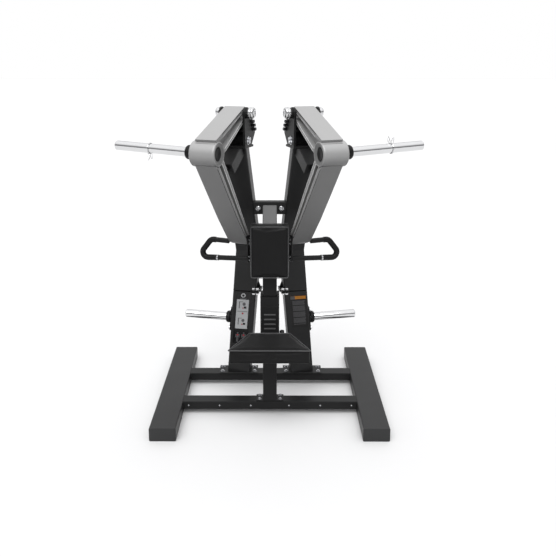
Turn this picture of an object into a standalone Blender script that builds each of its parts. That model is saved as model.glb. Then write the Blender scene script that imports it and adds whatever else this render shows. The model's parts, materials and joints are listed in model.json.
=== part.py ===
"""Plate-loaded seated row machine with two independent lever arms.

World frame: +Z up, floor at Z = 0, X = 0 is the machine's centre plane, and -Y
is the side the user sits on.  All lengths are metres.  Everything with a left
and a right copy is built by the same function, mirrored in X.
"""
import math

import bmesh
import bpy
import numpy as np
from mathutils import Matrix, Vector

# ------------------------------------------------------------------ dimensions
Y0 = -4.2981                 # shift that centres the machine on Y = 0
GAP = 0.0003                 # clearance between touching pieces

# base
FLOOR_TUBE_X = (0.520, 0.670)
FLOOR_TUBE_Y = (3.834, 4.915)
FLOOR_TUBE_H = 0.080
CROSS_Z = (0.030, 0.080)
FRONT_CROSS_Y = (4.131, 4.211)
REAR_CROSS_Y = (4.506, 4.588)
PLATE_T = 0.008
TUBE_WALL = 0.003

# columns, one each side: width x depth box tube, front faces turned outwards
COL_W, COL_D = 0.145, 0.080
COL_TURN = math.radians(10.0)
COL_FOOT = (-0.207, 4.513, CROSS_Z[1] + GAP + PLATE_T + GAP)
COL_JOINT_Z = 0.686
COL_BEND = (-0.1358, 4.340, 0.953)
COL_TOP = (-0.1993, 4.061, 1.6157)

# arms: vertical planes splayed outwards towards the user
ARM_SPLAY = math.radians(20.4)
PIVOT_IN = (-0.139, 4.037, 1.806)   # pivot axis where it leaves the arm's inner side
ARM_W = 0.1164
RECESS = 0.012
HUB_UZ = (0.317, -0.183)
HUB_R = 0.0665
HUB_M = (-0.002, 0.140)
SHAFT_R = 0.0125

# plate horns
HORN_R = 0.025
TOP_HORN_LEN = 0.4555
TOP_HORN_TILT = math.radians(2.2)
STORE_HORN_LEN = 0.297
STORE_HORN_Z = 0.474

# centre post, seat and chest pad
POST_W, POST_D = 0.082, 0.080
POST_TOP_Z = 1.170
SEAT_TOP_Z = 0.560
SEAT_T = 0.084
SEAT_FRONT_Y, SEAT_BACK_Y = 3.792, 4.034
SEAT_FRONT_W, SEAT_BACK_W = 0.449, 0.232
CARRIAGE_W = 0.110
CARRIAGE_Z = (0.460, 0.739)
PAD_W, PAD_Z = 0.216, (0.879, 1.181)
PAD_Y = (4.026, 4.1215)

MATERIALS = {
    "powder_black": ((0.045, 0.046, 0.048), 0.50, 0.0),
    "powder_dark": ((0.022, 0.022, 0.023), 0.50, 0.0),
    "arm_silver": ((0.42, 0.43, 0.44), 0.38, 0.35),
    "chrome": ((0.80, 0.81, 0.82), 0.10, 1.0),
    "black_plastic": ((0.012, 0.012, 0.013), 0.45, 0.0),
    "grip_rubber": ((0.016, 0.016, 0.017), 0.70, 0.0),
    "upholstery": ((0.024, 0.024, 0.026), 0.55, 0.0),
}


# ------------------------------------------------------------------ helpers
for ob in list(bpy.data.objects):
    bpy.data.objects.remove(ob, do_unlink=True)


def material(name):
    mat = bpy.data.materials.get(name)
    if mat is None:
        colour, rough, metal = MATERIALS[name]
        mat = bpy.data.materials.new(name)
        mat.use_nodes = True
        shader = mat.node_tree.nodes["Principled BSDF"]
        shader.inputs["Base Color"].default_value = (*colour, 1.0)
        shader.inputs["Roughness"].default_value = rough
        shader.inputs["Metallic"].default_value = metal
        mat.diffuse_color = (*colour, 1.0)
    return mat


def solid(name, verts, faces, mat, parent=None, cutter=False, smooth=35.0):
    """A mesh object from points and faces, its normals turned outwards."""
    mesh = bpy.data.meshes.new(name)
    bm = bmesh.new()
    made = [bm.verts.new(v) for v in verts]
    for f in faces:
        bm.faces.new([made[i] for i in f])
    bmesh.ops.recalc_face_normals(bm, faces=bm.faces[:])
    bm.to_mesh(mesh)
    bm.free()
    if smooth:
        mesh.shade_smooth()
        mesh.set_sharp_from_angle(angle=math.radians(smooth))
    ob = bpy.data.objects.new(name, mesh)
    bpy.context.scene.collection.objects.link(ob)
    if mat:
        mesh.materials.append(material(mat))
    if parent:
        ob.parent = parent
    if cutter:
        ob.hide_render = True
        ob.display_type = "WIRE"
    return ob


def bevel(ob, width, segments=1, angle=40.0):
    mod = ob.modifiers.new("edge", "BEVEL")
    mod.width = width
    mod.segments = segments
    mod.limit_method = "ANGLE"
    mod.angle_limit = math.radians(angle)
    mod.use_clamp_overlap = True
    return ob


def cut(ob, cutter):
    mod = ob.modifiers.new("cut_" + cutter.name, "BOOLEAN")
    mod.operation = "DIFFERENCE"
    mod.solver = "EXACT"
    mod.object = cutter
    return ob


def join(ob, other):
    mod = ob.modifiers.new("join_" + other.name, "BOOLEAN")
    mod.operation = "UNION"
    mod.solver = "EXACT"
    mod.object = other
    return ob


def loft(rings, closed_ends=True):
    """Verts and faces of a skin through equal-length closed rings."""
    n = len(rings[0])
    verts = [tuple(p) for ring in rings for p in ring]
    faces = []
    for k in range(len(rings) - 1):
        for i in range(n):
            j = (i + 1) % n
            faces.append((k * n + i, k * n + j, (k + 1) * n + j, (k + 1) * n + i))
    if closed_ends:
        faces.append(tuple(range(n - 1, -1, -1)))
        faces.append(tuple((len(rings) - 1) * n + i for i in range(n)))
    return verts, faces


def pipe(outer, inner):
    """Open-ended hollow section: outer and inner rings joined at both ends."""
    n = len(outer[0])
    vo, fo = loft(outer, False)
    vi, fi = loft(inner, False)
    base = len(vo)
    faces = fo + [tuple(base + i for i in reversed(f)) for f in fi]
    last = (len(outer) - 1) * n
    for i in range(n):
        j = (i + 1) % n
        faces.append((j, i, base + i, base + j))
        faces.append((last + i, last + j, base + last + j, base + last + i))
    return vo + vi, faces


def rounded(w, h, r, n=2):
    """Rounded rectangle, centred, w across and h deep."""
    pts = []
    for cx, cy, a0 in ((w / 2 - r, h / 2 - r, 0), (-w / 2 + r, h / 2 - r, 90),
                       (-w / 2 + r, -h / 2 + r, 180), (w / 2 - r, -h / 2 + r, 270)):
        for k in range(n + 1):
            a = math.radians(a0 + 90.0 * k / n)
            pts.append((cx + r * math.cos(a), cy + r * math.sin(a)))
    return pts


def box(name, x, y, z, mat, parent=None, edge=0.0015, segments=1, cutter=False):
    verts = [(a, b, c) for c in z for b in y for a in x]
    faces = [(0, 2, 3, 1), (4, 5, 7, 6), (0, 1, 5, 4), (2, 6, 7, 3), (0, 4, 6, 2), (1, 3, 7, 5)]
    ob = solid(name, verts, faces, mat, parent, cutter)
    if edge:
        bevel(ob, edge, segments)
    return ob


def turned(name, origin, axis, profile, mat, parent=None, segments=24, cutter=False):
    """Lathe: profile is (distance along axis, radius); radius 0 closes an end."""
    axis = Vector(axis).normalized()
    side = axis.cross(Vector((0, 0, 1)))
    if side.length < 1e-6:
        side = Vector((1, 0, 0))
    side.normalize()
    up = side.cross(axis).normalized()
    origin = Vector(origin)
    verts, rows, faces = [], [], []
    for s, r in profile:
        if r <= 0:
            rows.append([len(verts)])
            verts.append(origin + axis * s)
        else:
            rows.append(list(range(len(verts), len(verts) + segments)))
            for k in range(segments):
                a = 2 * math.pi * k / segments
                verts.append(origin + axis * s + side * (r * math.cos(a)) + up * (r * math.sin(a)))
    closed_loop = profile[0][1] > 0 and profile[-1][1] > 0
    pairs = list(zip(rows[:-1], rows[1:]))
    if closed_loop:
        pairs.append((rows[-1], rows[0]))
    for a, b in pairs:
        for k in range(segments):
            j = (k + 1) % segments
            if len(a) == 1 and len(b) == 1:
                continue
            if len(a) == 1:
                faces.append((a[0], b[k], b[j]))
            elif len(b) == 1:
                faces.append((a[k], b[0], a[j]))
            else:
                faces.append((a[k], b[k], b[j], a[j]))
    return solid(name, [tuple(v) for v in verts], faces, mat, parent, cutter)


def rod_profile(length, radius, chamfer):
    return [(0, 0), (0, radius - chamfer), (chamfer, radius), (length - chamfer, radius),
            (length, radius - chamfer), (length, 0)]


def horn_profile(length, root):
    """Plate horn: its root, inside the collar, is turned down by 0.4 mm."""
    return [(0, 0), (0, HORN_R - 0.0004), (root, HORN_R - 0.0004), (root, HORN_R),
            (length - 0.003, HORN_R), (length, HORN_R - 0.003), (length, 0)]


def fillet_path(points, radii, steps=5):
    """Polyline whose inner corners are replaced by arcs."""
    pts = [Vector(p) for p in points]
    out = [pts[0]]
    for k in range(1, len(pts) - 1):
        a = (pts[k - 1] - pts[k]).normalized()
        b = (pts[k + 1] - pts[k]).normalized()
        half = a.angle(b) / 2
        reach = radii[k - 1] / math.tan(half)
        centre = pts[k] + (a + b).normalized() * (radii[k - 1] / math.sin(half))
        p0, p1 = pts[k] + a * reach, pts[k] + b * reach
        r0, r1 = p0 - centre, p1 - centre
        total = r0.angle(r1)
        turn = r0.cross(r1).normalized()
        for i in range(steps + 1):
            out.append(centre + Matrix.Rotation(total * i / steps, 3, turn) @ r0)
    out.append(pts[-1])
    return out


def sweep_rings(path, radius, segments):
    """Circles square to a planar path."""
    rings = []
    span = (path[1] - path[0]).cross(path[len(path) // 2] - path[0])
    normal = span.normalized()
    for k, p in enumerate(path):
        if k == 0:
            t = path[1] - path[0]
        elif k == len(path) - 1:
            t = path[-1] - path[-2]
        else:
            t = (path[k + 1] - p).normalized() + (p - path[k - 1]).normalized()
        t.normalize()
        side = normal.cross(t).normalized()
        ring = []
        for i in range(segments):
            a = 2 * math.pi * i / segments
            ring.append(tuple(p + normal * (radius * math.cos(a)) + side * (radius * math.sin(a))))
        rings.append(ring)
    return rings


def extrude_outline(outline, lo, hi, to_point):
    """Prism: outline in a plane, from lo to hi across it."""
    rings = [[to_point(a, b, h) for a, b in outline] for h in (lo, hi)]
    return loft(rings)


def Y(d):
    return d + Y0


SIDES = (("left", -1), ("right", 1))


# ------------------------------------------------------------------ base frame
def build_base():
    for side, s in SIDES:
        x0, x1 = FLOOR_TUBE_X
        xc, w = s * (x0 + x1) / 2, x1 - x0
        y0, y1 = Y(FLOOR_TUBE_Y[0]), Y(FLOOR_TUBE_Y[1])
        h = FLOOR_TUBE_H
        outer = [[(xc + a, y, h / 2 + b) for a, b in rounded(w, h, 0.006)] for y in (y0, y1)]
        inner = [[(xc + a, y, h / 2 + b) for a, b in
                  rounded(w - 2 * TUBE_WALL, h - 2 * TUBE_WALL, 0.003)] for y in (y0, y1)]
        solid(side + "_floor_tube", *pipe(outer, inner), "powder_black")
        for end, y, out in (("front", y0, -1), ("rear", y1, 1)):
            ring = [[(xc + a * k, y + out * d, h / 2 + b * k) for a, b in rounded(w, h, 0.006)]
                    for d, k in ((GAP, 1.0), (0.0022, 1.0), (0.003, 0.985))]
            solid(side + "_" + end + "_end_cap", *loft(ring), "black_plastic")

    zc, hh = sum(CROSS_Z) / 2, CROSS_Z[1] - CROSS_Z[0]
    xe = FLOOR_TUBE_X[0] - GAP
    for name, (ya, yb) in (("front_cross_tube", FRONT_CROSS_Y), ("rear_cross_tube", REAR_CROSS_Y)):
        yc, dd = Y((ya + yb) / 2), yb - ya
        outer = [[(x, yc + a, zc + b) for a, b in rounded(dd, hh, 0.004)] for x in (-xe, xe)]
        inner = [[(x, yc + a, zc + b) for a, b in
                  rounded(dd - 2 * TUBE_WALL, hh - 2 * TUBE_WALL, 0.002)] for x in (-xe, xe)]
        solid(name, *pipe(outer, inner), "powder_dark")


# ------------------------------------------------------------------ columns
def column_ring(s, centre, inset=0.0, r=0.006):
    """Level cut through a column: centre is the middle of its front face."""
    c, t = math.cos(COL_TURN), math.sin(COL_TURN)
    out = (s * c, t)                 # outwards along the front face
    back = (-s * t, c)               # from the front face to the rear face
    pts = []
    for a, b in rounded(COL_W - 2 * inset, COL_D - 2 * inset, r):
        b += COL_D / 2
        pts.append((centre[0] * -s + out[0] * a + back[0] * b,
                    Y(centre[1]) + out[1] * a + back[1] * b, centre[2]))
    return pts


def on_leg(z):
    f = (z - COL_FOOT[2]) / (COL_BEND[2] - COL_FOOT[2])
    return tuple(COL_FOOT[i] + (COL_BEND[i] - COL_FOOT[i]) * f for i in range(2)) + (z,)


def build_columns():
    for side, s in SIDES:
        # foot plate on the rear cross tube
        fx = COL_FOOT[0] * -s
        box(side + "_column_foot_plate", (fx - 0.125, fx + 0.125), (Y(4.497), Y(4.608)),
            (CROSS_Z[1] + GAP, CROSS_Z[1] + GAP + PLATE_T), "powder_dark", edge=0.0012)
        # lower leg with a joint flange that reaches inwards
        stations = [COL_FOOT, on_leg(COL_JOINT_Z - 0.010)]
        lower = solid(side + "_lower_column",
                      *pipe([column_ring(s, p) for p in stations],
                            [column_ring(s, p, TUBE_WALL, 0.003) for p in stations]), "powder_black")
        tab_lower = joint_tab(side + "_tab_low", s, COL_JOINT_Z - 0.0100, COL_JOINT_Z - GAP / 2)
        join(lower, tab_lower)
        # upper column: bend, then leaning towards the user
        stations = [on_leg(COL_JOINT_Z + GAP / 2), COL_BEND, COL_TOP]
        upper = solid(side + "_upper_column",
                      *pipe([column_ring(s, p) for p in stations],
                            [column_ring(s, p, TUBE_WALL, 0.003) for p in stations]), "powder_black")
        tab_upper = joint_tab(side + "_tab_up", s, COL_JOINT_Z + GAP / 2, COL_JOINT_Z + 0.0100)
        join(upper, tab_upper)


def joint_tab(name, s, z0, z1):
    """Flange ring round the column, with an ear on the inner side for two bolts."""
    c, t = math.cos(COL_TURN), math.sin(COL_TURN)
    out, back = (s * c, t), (-s * t, c)
    mid = on_leg((z0 + z1) / 2)
    rings = []
    for z in (z0, z1):
        ring = []
        for a, b in ((-COL_W / 2 - 0.026, 0.010), (-COL_W / 2 + 0.004, 0.004),
                     (-COL_W / 2 + 0.004, COL_D - 0.004), (-COL_W / 2 - 0.026, COL_D - 0.010)):
            ring.append((mid[0] * -s + out[0] * a + back[0] * b,
                         Y(mid[1]) + out[1] * a + back[1] * b, z))
        rings.append(ring)
    ob = solid(name, *loft(rings), None, cutter=True)
    return ob


# ------------------------------------------------------------------ arm frame
def arm_empty(side, s):
    ob = bpy.data.objects.new(side + "_arm_pivot", None)
    bpy.context.scene.collection.objects.link(ob)
    ob.location = (PIVOT_IN[0] * -s, Y(PIVOT_IN[1]), PIVOT_IN[2])
    ob.rotation_euler = (0, 0, s * ARM_SPLAY)
    return ob


def build_pivot_bracket(side, s, frame):
    """U bracket on the column's top: base plate and two cheeks."""
    def pt(u, z, m):
        return (s * m, -u, z)
    base_z0 = COL_TOP[2] + GAP - PIVOT_IN[2]
    base_z1 = base_z0 + 0.012
    arc = [(0.032 * math.sin(math.radians(a)), 0.032 * math.cos(math.radians(a)))
           for a in (100, 70, 35, 0, -35)]
    cheek = [(0.020, base_z1 - 0.005)] + arc + [(-0.0552, -0.0300), (-0.1172, -0.1000), (-0.1172, -0.1160),
                                                (-0.0650, base_z1 - 0.005)]
    base = solid(side + "_pivot_bracket",
                 *extrude_outline([(-0.092, base_z0), (0.022, base_z0), (0.022, base_z1),
                                   (-0.092, base_z1)], -0.018, ARM_W + 0.018,
                                  lambda u, z, m: pt(u, z, m)), "powder_dark", frame)
    for tag, m0, m1 in (("in", -0.018, -0.006), ("out", ARM_W + 0.006, ARM_W + 0.018)):
        c = solid(side + "_cheek_" + tag, *extrude_outline(cheek, m0, m1, lambda u, z, m: pt(u, z, m)),
                  None, frame, cutter=True)
        join(base, c)
    low = base_z1 - 0.005
    web = [(-0.0552, -0.0300), (-0.1172, -0.1000), (-0.1172, -0.1160), (-0.0650, low), (-0.0580, low),
           (-0.1102, -0.1140), (-0.1102, -0.1025), (-0.0502, -0.0346)]
    join(base, solid(side + "_bracket_web", *extrude_outline(web, -0.010, ARM_W + 0.010,
                                                             lambda u, z, m: pt(u, z, m)),
                     None, frame, cutter=True))
    boss = turned(side + "_boss_in", (s * -0.035, 0, 0), (s, 0, 0),
                  [(0, 0), (0, 0.029), (0.0190, 0.029), (0.0190, 0)], None, frame, 20, cutter=True)
    join(base, boss)
    bore = turned(side + "_bracket_bore", (s * -0.05, 0, 0), (s, 0, 0),
                  [(0, 0), (0, SHAFT_R + 0.0004), (ARM_W + 0.10, SHAFT_R + 0.0004), (ARM_W + 0.10, 0)],
                  None, frame, 20, cutter=True)
    cut(base, bore)

    # shaft with its domed nuts
    x0, x1 = -0.0650, ARM_W + 0.0416
    n0, n1 = -0.035 - GAP, ARM_W + 0.018 + GAP
    profile = [(x0, 0), (x0, 0.018), (x0 + 0.003, 0.027), (x0 + 0.008, 0.0315), (n0, 0.0315),
               (n0, SHAFT_R), (n1, SHAFT_R), (n1, 0.0290), (x1 - 0.008, 0.0290),
               (x1 - 0.003, 0.025), (x1, 0.017), (x1, 0)]
    turned(side + "_pivot_shaft", (0, 0, 0), (s, 0, 0), profile, "chrome", frame, 20)


def build_stop(side, s, frame):
    """Stop bar reaching forwards from the column's front face under the bracket."""
    c, t = math.cos(COL_TURN), math.sin(COL_TURN)
    lean = Vector((-s * (COL_TOP[0] - COL_BEND[0]), COL_TOP[1] - COL_BEND[1], COL_TOP[2] - COL_BEND[2]))
    normal = Vector((s * c, t, 0)).cross(lean).normalized()
    if normal.y > 0:
        normal = -normal
    point = Vector((-s * COL_TOP[0], Y(COL_TOP[1]), COL_TOP[2])) + normal * GAP
    inv = (Matrix.Translation(frame.location) @ Matrix.Rotation(s * ARM_SPLAY, 4, "Z")).inverted()
    point, normal = inv @ point, (inv.to_3x3() @ normal)

    def on_face(m, z):
        """The column's front face at this height and distance across."""
        x = s * m
        y = point.y - (normal.x * (x - point.x) + normal.z * (z - point.z)) / normal.y
        return x, y, z
    top = COL_TOP[2] - PIVOT_IN[2] - GAP
    rings = []
    for m in (0.010, ARM_W - 0.010):
        ring = [(s * m, -u, z) for u, z in STOP_FACE]
        ring.append(on_face(m, -0.2323))
        ring.append(on_face(m, top))
        ring.append((s * m, -0.0323, top))
        rings.append(ring)
    bevel(solid(side + "_stop_bar", *loft(rings), "powder_black", frame), 0.0025)


STOP_FACE = ((0.1426, -0.2608), (0.1020, -0.3170))
FRONT_LINE = ((0.3646, -0.2256), (0.2606, -0.3613), (0.0892, -0.5790), (-0.0499, -0.7386))
REAR_LINE = ((0.2879, -0.1885), (0.1452, -0.3862), (-0.0035, -0.6030), (-0.0758, -0.7038))


def unit2(a, b):
    d = (b[0] - a[0], b[1] - a[1])
    k = math.hypot(*d)
    return d[0] / k, d[1] / k


def build_bumper(side, s, frame):
    """Rubber buffer on the stop bar's end, square to the arm's rear face."""
    d = unit2(REAR_LINE[0], REAR_LINE[1])    # down along the rear face
    n = (d[1], -d[0])                        # away from the arm, to the rear
    if n[0] > 0:
        n = (-n[0], -n[1])
    # middle of the stop bar's end face, moved along n until the arm's rear face
    mid = lerp(STOP_FACE[0], STOP_FACE[1], 0.5)
    rel = (mid[0] - REAR_LINE[0][0], mid[1] - REAR_LINE[0][1])
    dist = rel[0] * n[0] + rel[1] * n[1]     # how far the bar's end is behind the arm
    start = (mid[0] - n[0] * (dist - GAP), mid[1] - n[1] * (dist - GAP))
    length = dist - 2 * GAP
    turned(side + "_stop_bumper", (s * ARM_W / 2, -start[0], start[1]), (0, -n[0], n[1]),
           [(0, 0), (0, 0.020), (0.006, 0.025), (length, 0.025), (length, 0)],
           "grip_rubber", frame, 20)


# ------------------------------------------------------------------ arms
def beam_ring(o, i, f_front, f_rear, s):
    """H-shaped cut through a lever beam between front point o and rear point i."""
    length = math.hypot(o[0] - i[0], o[1] - i[1])
    tf, tr = 1 - f_front / length, f_rear / length
    ch = 0.004 / length
    w, r = ARM_W, RECESS
    pts = [(0.004, 0), (w - 0.004, 0), (w, ch), (w, tr), (w - r, tr), (w - r, tf), (w, tf), (w, 1 - ch),
           (w - 0.004, 1), (0.004, 1), (0, 1 - ch), (0, tf), (r, tf), (r, tr), (0, tr), (0, ch)]
    return [(s * m, -(i[0] + (o[0] - i[0]) * t), i[1] + (o[1] - i[1]) * t) for m, t in pts]


def core_ring(o, i, wall, s):
    length = math.hypot(o[0] - i[0], o[1] - i[1])
    k = wall / length
    m0, m1 = RECESS + wall, ARM_W - RECESS - wall
    return [(s * m, -(i[0] + (o[0] - i[0]) * t), i[1] + (o[1] - i[1]) * t)
            for m, t in ((m0, k), (m1, k), (m1, 1 - k), (m0, 1 - k))]


def along_line(points, t):
    """The point a fraction t of the way along a polyline."""
    lengths = [math.hypot(b[0] - a[0], b[1] - a[1]) for a, b in zip(points[:-1], points[1:])]
    left = t * sum(lengths)
    for k, length in enumerate(lengths):
        if left <= length or k == len(lengths) - 1:
            return lerp(points[k], points[k + 1], left / length)
        left -= length


def lerp(a, b, t):
    return tuple(a[i] + (b[i] - a[i]) * t for i in range(len(a)))


def build_arm(side, s, frame):
    hub_o = (0, -HUB_UZ[0], HUB_UZ[1])

    # upper beam: from the pivot down to the hub
    top_a, top_b = (-0.0175, 0.0338), (0.3490, -0.1088)
    bot_a, bot_b, bot_c = (-0.0300, -0.0340), (0.1500, -0.1299), (0.2950, -0.2071)
    top_mid = lerp(top_a, top_b, 0.50)
    rings = [beam_ring(top_a, bot_a, 0.020, 0.017, s), beam_ring(top_mid, bot_b, 0.022, 0.018, s),
             beam_ring(top_b, bot_c, 0.024, 0.018, s)]
    upper = solid(side + "_upper_beam", *loft(rings), "arm_silver", frame)
    core = solid(side + "_upper_core", *loft([core_ring(lerp(top_a, top_mid, t0), lerp(bot_a, bot_b, t0), 0.004, s)
                                              for t0 in (0.36,)] +
                                             [core_ring(top_mid, bot_b, 0.004, s),
                                              core_ring(lerp(top_mid, top_b, 1.2), lerp(bot_b, bot_c, 1.2),
                                                        0.004, s)]),
                 None, frame, cutter=True)
    clear = turned(side + "_hub_clear", (s * -0.03, *hub_o[1:]), (s, 0, 0),
                   [(0, 0), (0, HUB_R + 0.0012), (0.20, HUB_R + 0.0012), (0.20, 0)], None, frame, 32, cutter=True)
    bore = turned(side + "_beam_bore", (s * -0.03, 0, 0), (s, 0, 0),
                  [(0, 0), (0, 0.0193), (0.20, 0.0193), (0.20, 0)], None, frame, 24, cutter=True)
    cut(upper, core)
    cut(upper, clear)
    cut(upper, bore)
    turned(side + "_pivot_sleeve", (s * 0.001, 0, 0), (s, 0, 0),
           [(0, SHAFT_R + 0.0005), (0, 0.0190), (ARM_W - 0.002, 0.0190), (ARM_W - 0.002, SHAFT_R + 0.0005)],
           "chrome", frame, 24)

    # hub tube and its cover on the inner end
    m0, m1 = HUB_M
    turned(side + "_arm_hub", (s * m0, *hub_o[1:]), (s, 0, 0),
           [(0.004, 0.0470), (0.0, 0.0490), (0.0, HUB_R - 0.004), (0.004, HUB_R), (m1 - m0 - 0.004, HUB_R),
            (m1 - m0, HUB_R - 0.004), (m1 - m0, 0.0300), (m1 - m0 - 0.010, 0.0300), (m1 - m0 - 0.010, 0.0600),
            (0.020, 0.0600), (0.020, 0.0470)],
           "arm_silver", frame, 32)
    turned(side + "_hub_cover", (s * (m0 + 0.006), *hub_o[1:]), (s, 0, 0),
           [(0, 0), (0, 0.0430), (0.003, 0.0465), (0.012, 0.0465), (0.012, 0)], "black_plastic", frame, 24)

    # lower beam: from the hub down to the handle
    stations = []
    for k in (0.0, 0.34, 0.67, 1.0):
        f, r = along_line(FRONT_LINE, k), along_line(REAR_LINE, k)
        chord = math.hypot(f[0] - r[0], f[1] - r[1])
        stations.append((f, r, chord * 0.34, chord * 0.30))
    lower = solid(side + "_lower_beam", *loft([beam_ring(*p, s) for p in stations]), "arm_silver", frame)
    f_up = tuple(2 * a - b for a, b in zip(stations[0][0], along_line(FRONT_LINE, 0.05)))
    r_up = tuple(2 * a - b for a, b in zip(stations[0][1], along_line(REAR_LINE, 0.05)))
    f_low, r_low = along_line(FRONT_LINE, 0.93), along_line(REAR_LINE, 0.93)
    core = solid(side + "_lower_core",
                 *loft([core_ring(f, r, 0.004, s) for f, r in
                        [(f_up, r_up)] + [p[:2] for p in stations[:3]] + [(f_low, r_low)]]),
                 None, frame, cutter=True)
    cut(lower, core)
    clear2 = turned(side + "_hub_clear_low", (s * -0.03, *hub_o[1:]), (s, 0, 0),
                    [(0, 0), (0, HUB_R + 0.0010), (0.20, HUB_R + 0.0010), (0.20, 0)], None, frame, 32, cutter=True)
    cut(lower, clear2)
    # closed foot of the beam, with its outer corner rounded off
    FRONT_B, REAR_B = FRONT_LINE[-1], REAR_LINE[-1]
    down = unit2(REAR_B, FRONT_B)
    down = (down[1], -down[0])
    foot = []
    for inset, drop in ((0.0, -0.0005), (0.0, 0.0090), (0.006, 0.0150)):
        o = (FRONT_B[0] + down[0] * drop, FRONT_B[1] + down[1] * drop)
        i = (REAR_B[0] + down[0] * drop, REAR_B[1] + down[1] * drop)
        foot.append([(s * m, -(i[0] + (o[0] - i[0]) * t), i[1] + (o[1] - i[1]) * t)
                     for m, t in ((0.001 + inset * 0.4, 0.02), (ARM_W - 0.004 - inset, 0.02), (ARM_W - inset, 0.14),
                                  (ARM_W - inset, 0.86), (ARM_W - 0.004 - inset, 0.98), (0.001 + inset * 0.4, 0.98))])
    toe = solid(side + "_beam_foot", *loft(foot), None, frame, cutter=True)
    join(lower, toe)

    # handle: bent bar, rubber grip, and the plate its inner end is bolted to
    hu = -0.0490
    A, B = (ARM_W + GAP, -0.7330), (0.2290, -0.7330)
    C, D = (0.3180, -0.8477), (0.0016, -0.8250)
    path = fillet_path([(s * m, -hu, z) for m, z in (A, B, C, D)], (0.036, 0.030), 6)
    bar_r, grip_r = 0.0145, 0.0170
    solid(side + "_handle_bar", *loft(sweep_rings(path, bar_r, 12)), "powder_dark", frame)
    start, stop = 0.1980, 0.1930
    grip = [Vector((s * start, -hu, A[1] + (B[1] - A[1]) * (start - A[0]) / (B[0] - A[0])))]
    grip += path[1:-1]
    grip += [Vector((s * stop, -hu, C[1] + (D[1] - C[1]) * (stop - C[0]) / (D[0] - C[0])))]
    solid(side + "_handle_grip", *pipe(sweep_rings(grip, grip_r, 12), sweep_rings(grip, bar_r + 0.0004, 12)),
          "grip_rubber", frame)
    plate = [(-0.018, -0.688), (-0.030, -0.735), (-0.031, -0.843), (-0.067, -0.843), (-0.068, -0.735),
             (-0.060, -0.688)]
    bevel(solid(side + "_handle_plate",
                *extrude_outline(plate, -0.0063, -GAP, lambda u, z, m: (s * m, -u, z)),
                "powder_dark", frame), 0.001)

    # plate horn, its collar and the spring clip
    tilt = TOP_HORN_TILT
    axis = (s * math.cos(tilt), 0, math.sin(tilt))

    def along(d):
        return (s * m1 + axis[0] * d, -HUB_UZ[0], HUB_UZ[1] + 0.003 + axis[2] * d)
    turned(side + "_horn_collar", along(0.0020), axis,
           [(0, HORN_R + 0.0004), (0, 0.0370), (0.028, 0.0370), (0.036, 0.0320), (0.036, HORN_R + 0.0004)],
           "black_plastic", frame, 24)
    turned(side + "_plate_horn", along(-0.0075), axis,
           horn_profile(TOP_HORN_LEN + 0.0075, 0.047), "chrome", frame, 24)
    return along, axis


def build_clip(side, s, frame, along, axis, at):
    """Coiled wire clip that grips the horn, its two finger loops in one flat coil pack."""
    r_in, r_wire = HORN_R + 0.0006, 0.0021
    r_out = r_in + 2 * r_wire
    ob = turned(side + "_spring_clip", along(at), axis,
                [(0, r_in), (0, r_out), (0.0145, r_out), (0.0145, r_in)], "chrome", frame, 24)
    # two straight finger ends
    ax = Vector(axis).normalized()
    for k, (deg, d) in enumerate(((-68.0, 0.0028), (-112.0, 0.0117))):
        side_v = ax.cross(Vector((0, 0, 1))).normalized()
        up_v = side_v.cross(ax).normalized()
        a = math.radians(-s * deg)
        radial = side_v * math.cos(a) * 1.0 + up_v * math.sin(a)
        p0 = Vector(along(at)) + ax * d + radial * (r_in + r_wire)
        leg = turned(side + "_clip_leg%d" % k, p0, radial, rod_profile(0.034, r_wire, 0.0006), None,
                     frame, 8, cutter=True)
        join(ob, leg)
    return ob


# ------------------------------------------------------------------ storage horns
def build_storage(side, s):
    c, t = math.cos(COL_TURN), math.sin(COL_TURN)
    out, back = Vector((s * c, t, 0)), Vector((-s * t, c, 0))
    ctr = on_leg(STORE_HORN_Z)
    face = Vector((ctr[0] * -s, Y(ctr[1]), ctr[2])) + out * (COL_W / 2) + back * (COL_D / 2)
    # outer side of the leg leans a little: square to it in the side view
    lean = (COL_BEND[0] - COL_FOOT[0]) / (COL_BEND[2] - COL_FOOT[2])
    lean_y = (COL_BEND[1] - COL_FOOT[1]) / (COL_BEND[2] - COL_FOOT[2])
    up = Vector((-s * lean, lean_y, 1.0)).normalized()
    normal = back.cross(up).normalized()
    if normal.dot(out) < 0:
        normal = -normal
    wide = up.cross(normal).normalized()
    rings = []
    for d in (GAP, 0.008):
        rings.append([tuple(face + normal * d + wide * a + up * b)
                      for a, b in rounded(0.064, 0.170, 0.006, 1)])
    solid(side + "_storage_plate", *loft(rings), "powder_dark")
    axis = (out + Vector((0, 0, math.tan(math.radians(1.0))))).normalized()
    root = face + normal * 0.0083
    turned(side + "_storage_collar", root + axis * 0.0035, axis,
           [(0, HORN_R + 0.0004), (0, 0.0340), (0.004, 0.0370), (0.018, 0.0370), (0.026, 0.0310),
            (0.026, HORN_R + 0.0004)], "black_plastic", None, 24)
    turned(side + "_storage_horn", root + axis * 0.0022, axis,
           horn_profile(STORE_HORN_LEN, 0.030), "chrome", None, 24)


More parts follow.
